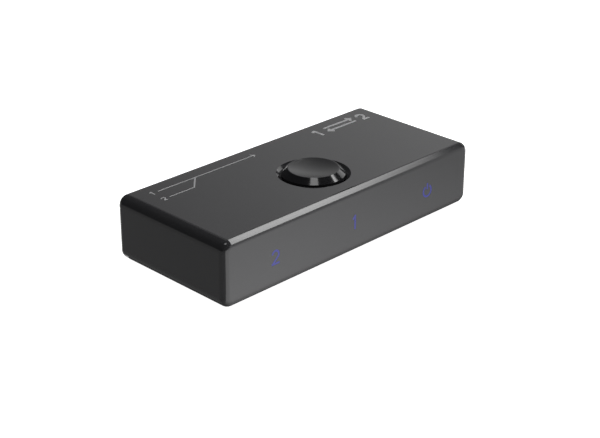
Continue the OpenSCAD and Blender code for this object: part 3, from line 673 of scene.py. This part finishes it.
@dataclass
class Case(SubAssembly):
    """Moulded case, bottom cover, screws and feet, with the print on its top.

    Attributes:
        ink: Height of the ink above the face.
        ink_root: Depth of the ink below the face.
        ink_step: Height that each further stroke adds, so that no two faces coincide.
        weight: Width of a numeral's lines as a share of its height.
        sign_height: Height of the two large numerals.
        sign_one: Lower left corner of the large one.
        sign_two: Lower left corner of the large two.
        sign_arrows: Left and right end of the two arrows between the large numerals.
        sign_rows: Heights of the lower and upper arrow as shares of the numerals' height.
        sign_head: Length of their heads.
        row_height: Height of the small numerals of the wiring diagram.
        row_x: Left side of the small numerals.
        rows: Heights of the diagram's two lines.
        line_start: Where the lines begin.
        line_end: Tip of the joined line.
        join: Where the second line turns, and where it meets the first.
        line: Width of the lines.
        line_head: Length of the joined line's head.
    """

    title: str = "case"
    ink: float = 0.012
    ink_root: float = 0.004
    ink_step: float = 0.0006
    weight: float = 0.18
    sign_height: float = 4.4
    sign_one: Pair = (20.0, 11.8)
    sign_two: Pair = (38.6, 11.8)
    sign_arrows: Pair = (25.0, 36.4)
    sign_rows: Pair = (0.27, 0.79)
    sign_head: float = 1.2
    row_height: float = 2.0
    row_x: float = -40.6
    rows: Pair = (15.0, 10.2)
    line_start: float = -38.0
    line_end: float = -3.0
    join: Pair = (-29.5, -25.0)
    line: float = 0.35
    line_head: float = 0.9

    def finishes(self) -> dict[str, Finish]:
        """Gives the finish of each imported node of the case."""
        return {
            "top_shell": SATIN_ABS,
            "bottom_cover": SATIN_ABS,
            "cover_screws": ZINC_PLATE,
            "feet": FOOT_RUBBER,
        }

    def numeral(self, kind: Numeral, corner: Pair, height: float) -> list[Stroke]:
        """Sets a numeral on the top face.

        Args:
            kind: Which numeral.
            corner: Its lower left corner.
            height: Its height.

        Returns:
            Its strokes.
        """
        return [Stroke(np.array(corner) + height * line, self.weight * height) for line in kind.lines()]

    def arrow(self, tail: Pair, tip_x: float, head: float, width: float) -> list[Stroke]:
        """Draws an arrow along X: a straight shaft and two barbs at 45 degrees.

        Args:
            tail: Where the shaft starts.
            tip_x: Where the head ends.
            head: Length of the head.
            width: Width of the lines.

        Returns:
            Its strokes.
        """
        x, y = tail
        back = tip_x - math.copysign(head, tip_x - x)
        shaft = np.array([(x, y), (tip_x - math.copysign(width / 2, tip_x - x), y)])
        barbs = np.array([(back, y + head), (tip_x, y), (back, y - head)])
        return [Stroke(shaft, width), Stroke(barbs, width)]

    def sign(self) -> list[Stroke]:
        """Draws the sign at the right: one and two with an arrow each way between them.

        Returns:
            Its strokes.
        """
        width = self.weight * self.sign_height
        left, right = self.sign_arrows
        low, high = (self.sign_one[1] + share * self.sign_height for share in self.sign_rows)
        return [
            *self.numeral(Numeral.ONE, self.sign_one, self.sign_height),
            *self.numeral(Numeral.TWO, self.sign_two, self.sign_height),
            *self.arrow((left, high), right, self.sign_head, width),
            *self.arrow((right, low), left, self.sign_head, width),
        ]

    def diagram(self) -> list[Stroke]:
        """Draws the wiring diagram at the left: two numbered lines that join into one arrow.

        Returns:
            Its strokes.
        """
        first, second = self.rows
        drop = self.row_height / 2
        turn, meet = self.join
        branch = np.array([(self.line_start, second), (turn, second), (meet, first)])
        return [
            *self.numeral(Numeral.ONE, (self.row_x, first - drop), self.row_height),
            *self.numeral(Numeral.TWO, (self.row_x, second - drop), self.row_height),
            *self.arrow((self.line_start, first), self.line_end, self.line_head, self.line),
            Stroke(branch, self.line),
        ]

    def pieces(self) -> list[Piece]:
        """Lays every stroke as a flat ribbon of ink on the top face.

        Returns:
            The print.
        """
        top = node_box("top_shell")[1, 2]
        ribbons = []
        for order, stroke in enumerate(self.sign() + self.diagram()):
            half = stroke.width / 2
            rise = self.ink + order * self.ink_step
            root = -self.ink_root
            section = np.array([(-half, root), (half, root), (half, rise), (-half, rise)])
            ribbons.append(sweep(stroke.points, section, Ends.OPEN, Plane.TOP, (0.0, 0.0, top)))
        return [Piece("top_print", ribbons, PAD_INK, Slot.SHELL)]


@dataclass
class Button(SubAssembly):
    """The round push button."""

    title: str = "button"
    body: str = "button"

    def finishes(self) -> dict[str, Finish]:
        """Gives the finish of the button."""
        return {"button_cap": POLISHED_ABS}


@dataclass
class PushSwitch(SubAssembly):
    """The switch under the button, with the base's heat-staked heads on its lid and its snap dome.

    Attributes:
        head_radius: Radius of a head.
        head_rise: Height of a head.
        inset: Distance of the heads from the lid's sides.
        dome_sheet: Thickness of the dome.
        dome_eye: Radius of the flat at the dome's top.
        dome_keep: Share of its height that the dome keeps when it is pressed; not used.
    """

    title: str = "push switch"
    head_radius: float = 0.42
    head_rise: float = 0.2
    inset: float = 0.75
    dome_sheet: float = 0.1
    dome_eye: float = 0.05
    dome_keep: float = 0.3

    def finishes(self) -> dict[str, Finish]:
        """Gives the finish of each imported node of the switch."""
        return {
            "switch_base": FILLED_NYLON,
            "switch_lid": NICKEL_SHEET,
            "switch_plunger": FILLED_NYLON,
            "switch_dome": GOLD_PLATE,
            "switch_pins": TIN_PLATE,
        }

    def pieces(self) -> list[Piece]:
        """Makes the four heads, low domes that stand on the lid.

        Returns:
            The heads.
        """
        low, high = node_box("switch_lid")
        middle = (low + high) / 2
        reach = (high - low) / 2 - self.inset
        profile = low_dome(self.head_radius, self.head_rise)
        heads = [
            turned(profile, (middle[0] + i * reach[0], middle[1] + j * reach[1], high[2]))
            for i in (-1, 1)
            for j in (-1, 1)
        ]
        return [Piece("switch_heads", heads, FILLED_NYLON, Slot.NYLON)]

    def dome(self) -> Shell:
        """Makes the snap dome: caps of two balls about one point, joined at the rim.

        At a distance r from the middle line, a cap of ball radius R lies the root of R squared less r
        squared above the balls' point. The inner cap meets the well's floor at the rim.

        Returns:
            The dome.
        """
        low, high = node_box("switch_dome")
        middle = (low + high) / 2
        rim = high[1] - middle[1]
        rise = high[2] - low[2] - self.dome_sheet
        ball = (rim**2 + rise**2) / (2.0 * rise)
        out = np.linspace(self.dome_eye, rim, LONG_CURVE)
        above = rise - ball + np.sqrt((ball + self.dome_sheet) ** 2 - out**2)
        below = rise - ball + np.sqrt(ball**2 - out**2)
        caps = [np.column_stack([out, above]), np.column_stack([out, below])[::-1]]
        return turned(np.concatenate(caps), (middle[0], middle[1], low[2]))

    def make(self) -> None:
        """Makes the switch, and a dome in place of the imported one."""
        super().make()
        dome = self.put(Piece("snap_dome", [self.dome()], GOLD_PLATE, Slot.GOLD))
        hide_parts("switch_dome")
        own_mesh(dome)


@dataclass
class VideoSocket(SubAssembly):
    """One video socket: folded shell, insulator, contacts, rounded rim and the springs' dimples.

    Attributes:
        number: Which of the three it is.
        width: Width of the shell.
        height: Height of the shell.
        slant: Width and height of its slanted lower corners.
        sheet: Thickness of its sheet.
        rim: Radius of the rim, just under half the sheet.
        spring_x: Distance of the roof springs from the middle.
        dimple: Radius and depth of the dimples.
        dimple_in: Distance of the dimples from the mouth.
    """

    title: str = "video socket"
    number: int = 1
    width: float = 15.0
    height: float = 5.6
    slant: Pair = (1.9, 2.0)
    sheet: float = 0.4
    rim: float = 0.19
    spring_x: float = 3.4
    dimple: Pair = (0.5, 0.22)
    dimple_in: float = 2.1

    def finishes(self) -> dict[str, Finish]:
        """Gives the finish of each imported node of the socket."""
        return {
            f"video_shell_{self.number}": NICKEL_SHEET,
            f"video_insulator_{self.number}": FILLED_NYLON,
            f"video_contacts_{self.number}": GOLD_PLATE,
        }

    def pieces(self) -> list[Piece]:
        """Rounds the mouth's edge and presses the springs' dimples.

        The rim is a round bead carried along the middle of the sheet. A dimple is a low dome turned
        downwards.

        Returns:
            The rim and the dimples.
        """
        low, high = node_box(f"video_shell_{self.number}")
        middle, mouth, roof = (low[0] + high[0]) / 2, high[1], high[2]
        half = self.width / 2
        slant_w, slant_h = self.slant
        floor = roof - self.height
        outline = np.array(
            [
                (half, roof),
                (-half, roof),
                (-half, floor + slant_h),
                (slant_w - half, floor),
                (half - slant_w, floor),
                (half, floor + slant_h),
            ]
        )
        bead = ring(self.rim) + (self.sheet / 2, 0.0)
        rim = sweep(outline, bead, Ends.CLOSED, Plane.BACK, (middle, mouth, 0.0))
        profile = low_dome(self.dimple[0], -self.dimple[1])
        dimples = [
            turned(profile, (middle + side * self.spring_x, mouth - self.dimple_in, roof - self.sheet))
            for side in (-1, 1)
        ]
        return [
            Piece(f"video_rim_{self.number}", [rim], NICKEL_SHEET, Slot.NICKEL),
            Piece(f"video_dimples_{self.number}", dimples, NICKEL_SHEET, Slot.NICKEL),
        ]


@dataclass
class PowerSocket(SubAssembly):
    """The oval supply socket with its rounded rim.

    Attributes:
        height: Height of the oval.
        sheet: Thickness of its sheet.
        rim: Radius of the rim, just under half the sheet.
    """

    title: str = "supply socket"
    height: float = 3.26
    sheet: float = 0.3
    rim: float = 0.14

    def finishes(self) -> dict[str, Finish]:
        """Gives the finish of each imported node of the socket."""
        return {
            "power_shell": NICKEL_SHEET,
            "power_insulator": FILLED_NYLON,
            "power_contacts": GOLD_PLATE,
        }

    def pieces(self) -> list[Piece]:
        """Rounds the mouth's edge with a bead carried round two half circles and two straights.

        Returns:
            The rim.
        """
        low, high = node_box("power_shell")
        radius = self.height / 2
        reach = (high[0] - low[0]) / 2 - radius
        turn = np.radians(np.linspace(-90.0, 90.0, HALF_TURN))
        right = np.column_stack([reach + radius * np.cos(turn), radius * np.sin(turn)])
        oval = np.concatenate([right, -right])
        bead = ring(self.rim) + (self.sheet / 2, 0.0)
        centre = ((low[0] + high[0]) / 2, high[1], high[2] - radius)
        rim = sweep(oval, bead, Ends.CLOSED, Plane.BACK, centre)
        return [Piece("power_rim", [rim], NICKEL_SHEET, Slot.NICKEL)]


@dataclass
class Board(SubAssembly):
    """The circuit board with its screws, its parts and the solder under it.

    Attributes:
        pin_x: Distance of the switch pins from the middle.
        pin_y: Places of the switch pins along Y.
        video_reach: Distance of the video sockets' tabs from each socket's middle.
        video_in: Distances of those tabs from the mouth.
        power_reach: Distance of the supply socket's tabs from its middle.
        power_in: Distances of those tabs from the mouth.
        pad: Radius of a joint at the board.
        tip: Radius of a joint at its end.
        drop: Height of a joint.
        flare: Power of the curve by which a joint widens towards the board.
        around: Points once round a joint.
        tab_squeeze: Factors that make the joint of a flat tab narrow along X.
    """

    title: str = "board"
    pin_x: float = 2.6
    pin_y: Pair = (-7.4, -3.0)
    video_reach: float = 7.3
    video_in: Pair = (5.2, 9.6)
    power_reach: float = 4.32
    power_in: Pair = (4.2, 6.4)
    pad: float = 1.0
    tip: float = 0.48
    drop: float = 0.66
    flare: float = 2.2
    around: int = 16
    tab_squeeze: Pair = (0.7, 1.15)

    def finishes(self) -> dict[str, Finish]:
        """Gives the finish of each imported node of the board."""
        return {
            "main_board": RESIST_LAMINATE,
            "board_screws": ZINC_PLATE,
            "video_chip": EPOXY,
            "control_chip": EPOXY,
            "control_chip_leads": TIN_PLATE,
            "regulator": EPOXY,
            "regulator_leads": TIN_PLATE,
            "crystal": NICKEL_SHEET,
            "capacitors": FIRED_CERAMIC,
            "resistors": EPOXY,
            "bulk_capacitors": YELLOW_RESIN,
            "surge_arrays": EPOXY,
        }

    def tabs(self, shell: str, reach: float, insets: Pair) -> list[Pair]:
        """Gives the places of a socket's four tabs.

        Args:
            shell: Name of the socket's packed shell.
            reach: Distance of the tabs from the socket's middle.
            insets: Distances of the tabs from the mouth.

        Returns:
            Their places along X and Y.
        """
        low, high = node_box(shell)
        middle = (low[0] + high[0]) / 2
        return [(middle + side * reach, high[1] - inset) for side in (-1, 1) for inset in insets]

    def pieces(self) -> list[Piece]:
        """Makes the solder joints: hollow cones that hang from the board.

        With s from 0 at the board to 1 at the tip, a joint's radius is tip + (pad - tip)(1 - s)^flare
        and its height is -drop s.

        Returns:
            The joints.
        """
        under = node_box("main_board")[0, 2]
        down = np.linspace(0.0, 1.0, SHORT_CURVE)
        radius = self.tip + (self.pad - self.tip) * (1.0 - down) ** self.flare
        profile = np.column_stack([radius, -self.drop * down])
        pins = [(side * self.pin_x, y) for side in (-1, 1) for y in self.pin_y]
        tabs = self.tabs("power_shell", self.power_reach, self.power_in)
        for number in (1, 2, 3):
            tabs += self.tabs(f"video_shell_{number}", self.video_reach, self.video_in)
        joints = [turned(profile, (x, y, under), around=self.around) for x, y in pins]
        joints += [turned(profile, (x, y, under), self.tab_squeeze, self.around) for x, y in tabs]
        return [Piece("solder_joints", joints, SOLDER, Slot.TIN)]


@dataclass
class LitMark(SubAssembly):
    """One lit mark: lamp with a domed window, light guide and the mark in the front wall.

    Attributes:
        which: Ending of its nodes' names.
        margin: Distance of the window from the lamp's sides.
        dome: Height of the window's dome.
        eye: Share of the window's reach at which its rings stop.
        rings: Rings of points from the rim to the eye.
        around: Points in a ring.
    """

    title: str = "lit mark"
    which: str = "1"
    margin: float = 0.12
    dome: float = 0.08
    eye: float = 0.1
    rings: int = 7
    around: int = 32

    def finishes(self) -> dict[str, Finish]:
        """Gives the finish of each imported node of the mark."""
        return {
            f"lamp_{self.which}": LAMP_RESIN,
            f"light_guide_{self.which}": CLEAR_ACRYLIC,
            f"mark_{self.which}": LIT_BLUE,
        }

    def pieces(self) -> list[Piece]:
        """Makes the lamp's window: a low dome over a rounded rectangle.

        With s from 1 at the rim to the eye's share, ring s has x = a s c, y = b s d and
        z = H (1 - s squared), where c and d are the square roots of |cos t| and |sin t| with their signs.

        Returns:
            The window.
        """
        low, high = node_box(f"lamp_{self.which}")
        reach = (high - low) / 2 - self.margin
        turn = np.linspace(0.0, 2.0 * np.pi, self.around, endpoint=False)
        cos, sin = np.cos(turn), np.sin(turn)
        share = np.linspace(1.0, self.eye, self.rings)
        x = reach[0] * np.outer(share, np.sign(cos) * np.sqrt(np.abs(cos)))
        y = reach[1] * np.outer(share, np.sign(sin) * np.sqrt(np.abs(sin)))
        z = np.repeat(self.dome * (1.0 - share[:, None] ** 2), len(turn), axis=1)
        centre = ((low[0] + high[0]) / 2, (low[1] + high[1]) / 2, high[2])
        window = skin(np.stack([x, y, z], axis=-1) + np.array(centre), Ends.OPEN)
        return [Piece(f"lamp_window_{self.which}", [window], LAMP_RESIN, Slot.LAMP)]


@dataclass
class Softbox:
    """A rectangular lamp that faces the object; its angles are as seen from the object.

    Attributes:
        name: Name of the lamp.
        azimuth: Degrees from +X towards +Y.
        elevation: Degrees above the floor.
        width: Width in degrees.
        height: Height in degrees.
        radiance: Brightness of its face, where one is white.
        mirrored: Whether reflections show it.
        distance: Distance in metres.
    """

    name: str
    azimuth: float
    elevation: float
    width: float
    height: float
    radiance: float
    mirrored: bool = True
    distance: float = 2.0

    def place(self) -> None:
        """Hangs the lamp in the scene."""
        data = bpy.data.lights.new(self.name, "AREA")
        data.shape = "RECTANGLE"
        data.size = self.span(self.width)
        data.size_y = self.span(self.height)
        data.energy = self.radiance * math.pi * data.size * data.size_y
        lamp = bpy.data.objects.new(self.name, data)
        upright = Euler((math.radians(90 - self.elevation), 0.0, math.radians(90 + self.azimuth)))
        lamp.matrix_world = upright.to_matrix().to_4x4() @ Matrix.Translation((0.0, 0.0, self.distance))
        lamp.visible_camera = False
        lamp.visible_glossy = self.mirrored
        bpy.context.scene.collection.objects.link(lamp)

    def span(self, angle: float) -> float:
        """Gives the length in metres that spans an angle at the lamp's distance."""
        return 2 * self.distance * math.tan(math.radians(angle / 2))


@dataclass
class Arch:
    """Sizes of the arched key lamp, a strip of a drum about the X axis that fades towards +X.

    Attributes:
        radius: Radius of the drum in metres.
        turn: Angles from +Y up over the object at which the strip starts and ends, in degrees.
        rows: Rows of points along the strip.
        near: Where the strip starts along X, as a share of the radius.
        steps: Where it starts to fade along X and the places after that, as shares of the radius.
        levels: Brightness of its face up to the first step and at each further one, where one is white.
        dim: Share of the first brightness at the start of the strip.
        bright: Where along Y it is fully bright, as a share of the radius.
    """

    radius: float = 2.0
    turn: Pair = (62.0, 156.0)
    rows: int = 33
    near: float = 0.7
    steps: tuple[float, ...] = (0.85, 0.98, 1.034, 1.044)
    levels: tuple[float, ...] = (7.4, 3.0, 1.7, 0.0)
    dim: float = 0.72
    bright: float = -0.2


@dataclass
class Panel:
    """Sizes of the curved panel behind the object, a strip of a drum about the Z axis.

    Attributes:
        radius: Radius of the drum in metres.
        turn: Angles from +X towards +Y at which the panel starts and ends, in degrees.
        rows: Rows of points along the panel.
        rise: Elevations of its lower and upper edge, in degrees.
        radiance: Brightness of its brightest part, where one is white.
        fade: Where along Y it starts to fade and where it is dark, as shares of the radius.
        lower: Elevations over which it brightens from its lower edge.
        upper: Elevations over which it darkens to its upper edge.
        rim: Brightness at its lower and upper edge.
    """

    radius: float = 2.0
    turn: Pair = (22.0, 62.0)
    rows: int = 17
    rise: Pair = (1.0, 62.0)
    radiance: float = 0.665
    fade: Pair = (0.616, 0.971)
    lower: Pair = (3.0, 16.0)
    upper: Pair = (24.0, 62.0)
    rim: Pair = (0.25, 0.12)


@dataclass
class Studio:
    """Pale floor, white backdrop, lamps, sheets that only reflections show, a dim room and the camera.

    Attributes:
        eye: Place of the camera in metres.
        target: Point that it looks at in metres.
        roll_deg: Turn of the camera about its own line of sight.
        focal_px: Focal length in pixels of the picture.
        picture_px: Width of the picture in pixels.
        sensor_mm: Width of the camera's sensor.
        clip_m: Distance in metres from which the camera sees.
        dullness: Roughness and specular level of the staging materials.
        floor_m: Half the floor's width in metres.
        floor_z: Height of the floor in metres, a hair below the feet.
        floor_tone: Floor colour as sRGB hex.
        floor_glow: Light that the floor gives off by itself.
        felt: Colour of the sheets as sRGB hex.
        sheet_z: Height of the sheets on the floor in metres.
        card: Corners of the bright sheet that the front wall mirrors, in metres.
        card_glow: Light of that sheet at the left and right of the object.
        card_span: Where along X, in metres, that light changes from one to the other.
        card_contact_shadow: Where along Y, in metres, the sheet is still dim with painted contact shadow
            and where it is fully bright.
        shade_outer: Half length and half depth of the frame of painted contact shadow under the case's
            edges, in metres.
        shade_inner: Half length and half depth of the opening in that frame, in metres.
        contact_shadow_glow: Light that the frame gives off by itself: the level of the painted contact
            shadow, also at the card's edge.
        flag: Corners of the dark sheet of painted floor shadow that keeps the left end dark, in metres.
        floor_shadow_glow: Light that it gives off by itself, the brightness of that painted shadow.
        gobo: Corners of the small dark sheet of painted shade over the key lamp's reflection in the
            button's hole, in metres.
        gobo_z: Height of that sheet in metres.
        room: Brightness of the room.
        ball_mm: Radius of the white ball around everything.
        ball_deg: Elevation at which the ball is shut above and below.
        ball_points: Points of the ball from bottom to top and once round.
        arch: The arched key lamp.
        panel: The curved panel behind the object.
        lamps: The softboxes.
    """

    eye: Vec3 = (-0.25913, -0.25790, 0.17608)
    target: Vec3 = (-0.009834, -0.009835, 0.010251)
    roll_deg: float = 0.11
    focal_px: float = 1450.3
    picture_px: float = 600.0
    sensor_mm: float = 36.0
    clip_m: float = 0.01
    dullness: Pair = (0.9, 0.1)
    floor_m: float = 3.0
    floor_z: float = -0.0001
    floor_tone: str = "#f2f2f2"
    floor_glow: float = 1.0
    felt: str = "#101010"
    sheet_z: float = 0.0004
    card: tuple[Pair, ...] = (
        (-0.0478, -0.0193), (-1.1, -2.9), (2.9, -2.9), (2.9, -1.35), (0.049, -0.0193),
    )
    card_glow: Pair = (1.82, 0.8)
    card_span: Pair = (-0.05, 0.07)
    card_contact_shadow: Pair = (-0.0199, -0.0248)
    shade_outer: Pair = (0.0478, 0.0193)
    shade_inner: Pair = (0.040, 0.013)
    contact_shadow_glow: float = 0.1
    flag: tuple[Pair, ...] = (
        (-0.0478, 0.0225), (-1.38, 2.9), (-2.9, 2.9), (-2.9, -2.9), (-1.1, -2.9), (-0.0478, -0.0215),
    )
    floor_shadow_glow: float = 0.3
    gobo: tuple[Pair, ...] = ((0.011, -0.010), (0.021, -0.010), (0.021, -0.0025), (0.011, -0.0025))
    gobo_z: float = 0.035
    room: float = 0.03
    ball_mm: float = 1500.0
    ball_deg: float = 85.0
    ball_points: tuple[int, int] = (24, 48)
    arch: Arch = field(default_factory=Arch)
    panel: Panel = field(default_factory=Panel)
    lamps: tuple[Softbox, ...] = (
        Softbox("top_softbox", 45.0, 72.0, 25.0, 25.0, 5.0, mirrored=False),
        Softbox("overhead_softbox", -130.0, 74.0, 18.0, 18.0, 3.8),
        Softbox("right_card", 2.0, 17.0, 22.0, 20.0, 1.3),
        Softbox("front_right_card", -50.0, 8.0, 40.0, 14.0, 0.85),
    )

    def set_up(self) -> None:
        """Makes the camera, the floor, the sheets, the backdrop, the lamps and the room."""
        self.set_camera()
        self.lay_floor()
        self.lay_sheets()
        self.hang_backdrop()
        self.hang_arch()
        self.hang_panel()
        for lamp in self.lamps:
            lamp.place()
        world = bpy.data.worlds.new("dim_room")
        world.use_nodes = True
        room = world.node_tree.nodes["Background"]
        room.inputs["Color"].default_value = linear("#ffffff")
        room.inputs["Strength"].default_value = self.room
        bpy.context.scene.world = world
        bpy.context.scene.view_settings.view_transform = "Standard"

    def set_camera(self) -> None:
        """Sets the camera where the photograph was taken from."""
        data = bpy.data.cameras.new("camera")
        data.sensor_width = self.sensor_mm
        data.lens = self.sensor_mm * self.focal_px / self.picture_px
        data.clip_start = self.clip_m
        camera = bpy.data.objects.new("camera", data)
        camera.location = Vector(self.eye)
        camera.rotation_mode = "QUATERNION"
        look = Vector(self.target) - Vector(self.eye)
        roll = Quaternion((0.0, 0.0, 1.0), math.radians(self.roll_deg))
        camera.rotation_quaternion = look.to_track_quat("-Z", "Y") @ roll
        bpy.context.scene.collection.objects.link(camera)
        bpy.context.scene.camera = camera

    def paper(self, name: str, tone: str, glow: float) -> Material:
        """Makes a dull staging material with some light of its own.

        Args:
            name: Name of the material.
            tone: Colour as sRGB hex.
            glow: Strength of its own light.

        Returns:
            The material.
        """
        material = bpy.data.materials.new(name)
        material.use_nodes = True
        shader = material.node_tree.nodes["Principled BSDF"]
        constants = {
            "Base Color": linear(tone),
            "Roughness": self.dullness[0],
            "Specular IOR Level": self.dullness[1],
            "Emission Color": linear("#ffffff"),
            "Emission Strength": glow,
        }
        for socket, value in constants.items():
            shader.inputs[socket].default_value = value
        return material

    def lay_floor(self) -> None:
        """Lays one pale sheet under the feet; from below it is clear, so that the underside shows."""
        reach = self.floor_m
        corners = ((-reach, -reach), (reach, -reach), (reach, reach), (-reach, reach))
        material = self.paper("pale_paper", self.floor_tone, self.floor_glow)
        self.sheet("floor", corners, self.floor_z, material)
        tree = material.node_tree
        below = add_node(tree, "ShaderNodeNewGeometry").outputs["Backfacing"]
        solid = add_node(tree, "ShaderNodeMapRange", Value=below, To_Min=1.0, To_Max=0.0)
        tree.links.new(solid.outputs["Result"], tree.nodes["Principled BSDF"].inputs["Alpha"])

    def lay_sheets(self) -> None:
        """Lays the flag, the gobo, the shade and the card, seen only in reflections; all but the card's
        bright part are painted shade.
        """
        # Painted shadow of the floor left of the case, which the left end mirrors.
        grey = self.paper("painted_floor_shadow", self.felt, self.floor_shadow_glow)
        # Painted shade that hides the key lamp's reflection in the button's hole.
        black = self.paper("painted_hole_shade", self.felt, 0.0)
        # Painted contact shadow under the case's edges, which the lower rounded edges mirror.
        dim = self.paper("painted_contact_shadow", self.felt, self.contact_shadow_glow)
        white = self.paper("white_card", self.felt, self.card_glow[0])
        sheets = (
            self.sheet("flag", self.flag, self.sheet_z, grey),
            self.sheet("gobo", self.gobo, self.gobo_z, black),
            self.sheet("shade", self.shade(), self.sheet_z, dim),
            self.sheet("card", self.card, self.sheet_z, white),
        )
        for sheet in sheets:
            sheet.visible_camera = False
            sheet.visible_shadow = False
        # The card's light drops towards the case: a painted contact shadow along its near edge.
        tree = white.node_tree
        glow = self.grade(tree, "X", self.card_span, self.card_glow)
        self.shine(tree, self.grade(tree, "Y", self.card_contact_shadow, (self.contact_shadow_glow, glow)))

    def shade(self) -> tuple[Pair, ...]:
        """Draws the frame of painted contact shadow under the case: once round outside, then once back
        inside.

        Returns:
            Its corners in metres.
        """
        round_trip = ((-1, -1), (1, -1), (1, 1), (-1, 1), (-1, -1))
        outer = [(i * self.shade_outer[0], j * self.shade_outer[1]) for i, j in round_trip]
        inner = [(i * self.shade_inner[0], j * self.shade_inner[1]) for i, j in reversed(round_trip)]
        return (*outer, *inner)

    def hang_backdrop(self) -> None:
        """Puts a white ball around everything, which lights nothing and shows in no reflection.

        Its radius is R cos a and its height R sin a, with a from -ball_deg to ball_deg.
        """
        rows, around = self.ball_points
        rise = np.radians(np.linspace(-self.ball_deg, self.ball_deg, rows))
        profile = self.ball_mm * np.column_stack([np.cos(rise), np.sin(rise)])
        white = self.paper("white_backdrop", "#000000", 1.0)
        ball = make_mesh("backdrop", [turned(profile, (0.0, 0.0, 0.0), around=around)], white)
        ball.visible_diffuse = False
        ball.visible_glossy = False
        ball.visible_transmission = False
        ball.visible_shadow = False

    def hang_arch(self) -> None:
        """Hangs the key lamp: x = R s, y = R cos a and z = R sin a, with s and a over the arch's spans."""
        arch = self.arch
        angle = np.radians(np.linspace(*arch.turn, arch.rows))
        angle, share = np.meshgrid(angle, (arch.near, arch.steps[-1]), indexing="ij")
        grid = arch.radius * np.stack([share, np.cos(angle), np.sin(angle)], axis=-1)
        tree = self.hang("arched_softbox", grid)
        full = (arch.radius * math.cos(math.radians(arch.turn[0])), arch.radius * arch.bright)
        light = self.grade(tree, "Y", full, (arch.levels[0] * arch.dim, arch.levels[0]))
        for start, end, level in zip(arch.steps, arch.steps[1:], arch.levels[1:]):
            light = self.grade(tree, "X", (arch.radius * start, arch.radius * end), (light, level))
        self.shine(tree, light)

    def hang_panel(self) -> None:
        """Hangs the back panel: x = R cos a, y = R sin a and z = R tan e, with a and e over its spans."""
        panel = self.panel
        turn = np.radians(np.linspace(*panel.turn, panel.rows))
        turn, rise = np.meshgrid(turn, np.tan(np.radians(panel.rise)), indexing="ij")
        grid = panel.radius * np.stack([np.cos(turn), np.sin(turn), rise], axis=-1)
        tree = self.hang("back_panel", grid)
        lower = tuple(panel.radius * np.tan(np.radians(panel.lower)))
        upper = tuple(panel.radius * np.tan(np.radians(panel.upper)))
        across = (panel.radius * panel.fade[0], panel.radius * panel.fade[1])
        fade = self.grade(tree, "Y", across, (panel.radiance, 0.0))
        low = self.grade(tree, "Z", lower, (panel.rim[0], fade))
        self.shine(tree, self.grade(tree, "Z", upper, (low, panel.rim[1])))

    def hang(self, name: str, grid: np.ndarray) -> Tree:
        """Hangs a lit cloth, which only reflections show.

        Args:
            name: Name of the cloth.
            grid: Its points in metres, rows by columns by three.

        Returns:
            Node tree of its material.
        """
        rows, columns = grid.shape[:2]
        number = np.arange(rows * columns).reshape(rows, columns)
        corners = (number[:-1, :-1], number[:-1, 1:], number[1:, 1:], number[1:, :-1])
        faces = np.stack(corners, axis=-1).reshape(-1, 4).tolist()
        cloth = self.paper(f"{name}_cloth", "#000000", 1.0)
        made = link_mesh(name, grid.reshape(-1, 3), faces, cloth)
        made.visible_camera = False
        return cloth.node_tree

    def grade(self, tree: Tree, axis: str, span: Pair, light: tuple[object, object]) -> Socket:
        """Makes a strength that changes evenly along an axis.

        Args:
            tree: Node tree of a staging material.
            axis: X, Y or Z.
            span: Where the change starts and ends, in metres.
            light: Strength at both, as a number or a socket.

        Returns:
            The strength's output socket.
        """
        place = add_node(tree, "ShaderNodeTexCoord").outputs["Object"]
        ramp = add_node(
            tree,
            "ShaderNodeMapRange",
            Value=add_node(tree, "ShaderNodeSeparateXYZ", Vector=place).outputs[axis],
            From_Min=span[0],
            From_Max=span[1],
            To_Min=light[0],
            To_Max=light[1],
        )
        return ramp.outputs["Result"]

    def shine(self, tree: Tree, light: Socket) -> None:
        """Gives a staging material the light of a strength socket."""
        tree.links.new(light, tree.nodes["Principled BSDF"].inputs["Emission Strength"])

    def sheet(self, name: str, corners: tuple[Pair, ...], height: float, material: Material) -> Object:
        """Makes one flat staging sheet.

        Args:
            name: Name of the sheet.
            corners: Corners in metres, in order.
            height: Height above zero in metres.
            material: Its material.

        Returns:
            The sheet.
        """
        points = np.array([(x, y, height) for x, y in corners])
        made = link_mesh(name, points, [list(range(len(corners)))], material)
        return made


def groups() -> list[SubAssembly]:
    """Lists the sub-assemblies in the order in which they are put together.

    Returns:
        The sub-assemblies.
    """
    marks = [LitMark(which=which) for which in ("1", "2", "power")]
    sockets = [VideoSocket(number=number) for number in (1, 2, 3)]
    return [Case(), Button(), PushSwitch(), *sockets, PowerSocket(), Board(), *marks]


def main() -> None:
    """Builds the studio and every group."""
    logging.basicConfig(level=logging.INFO, format="%(name)s: %(message)s")
    Studio().set_up()
    for group in groups():
        group.make()


if __name__ == "__main__":
    main()
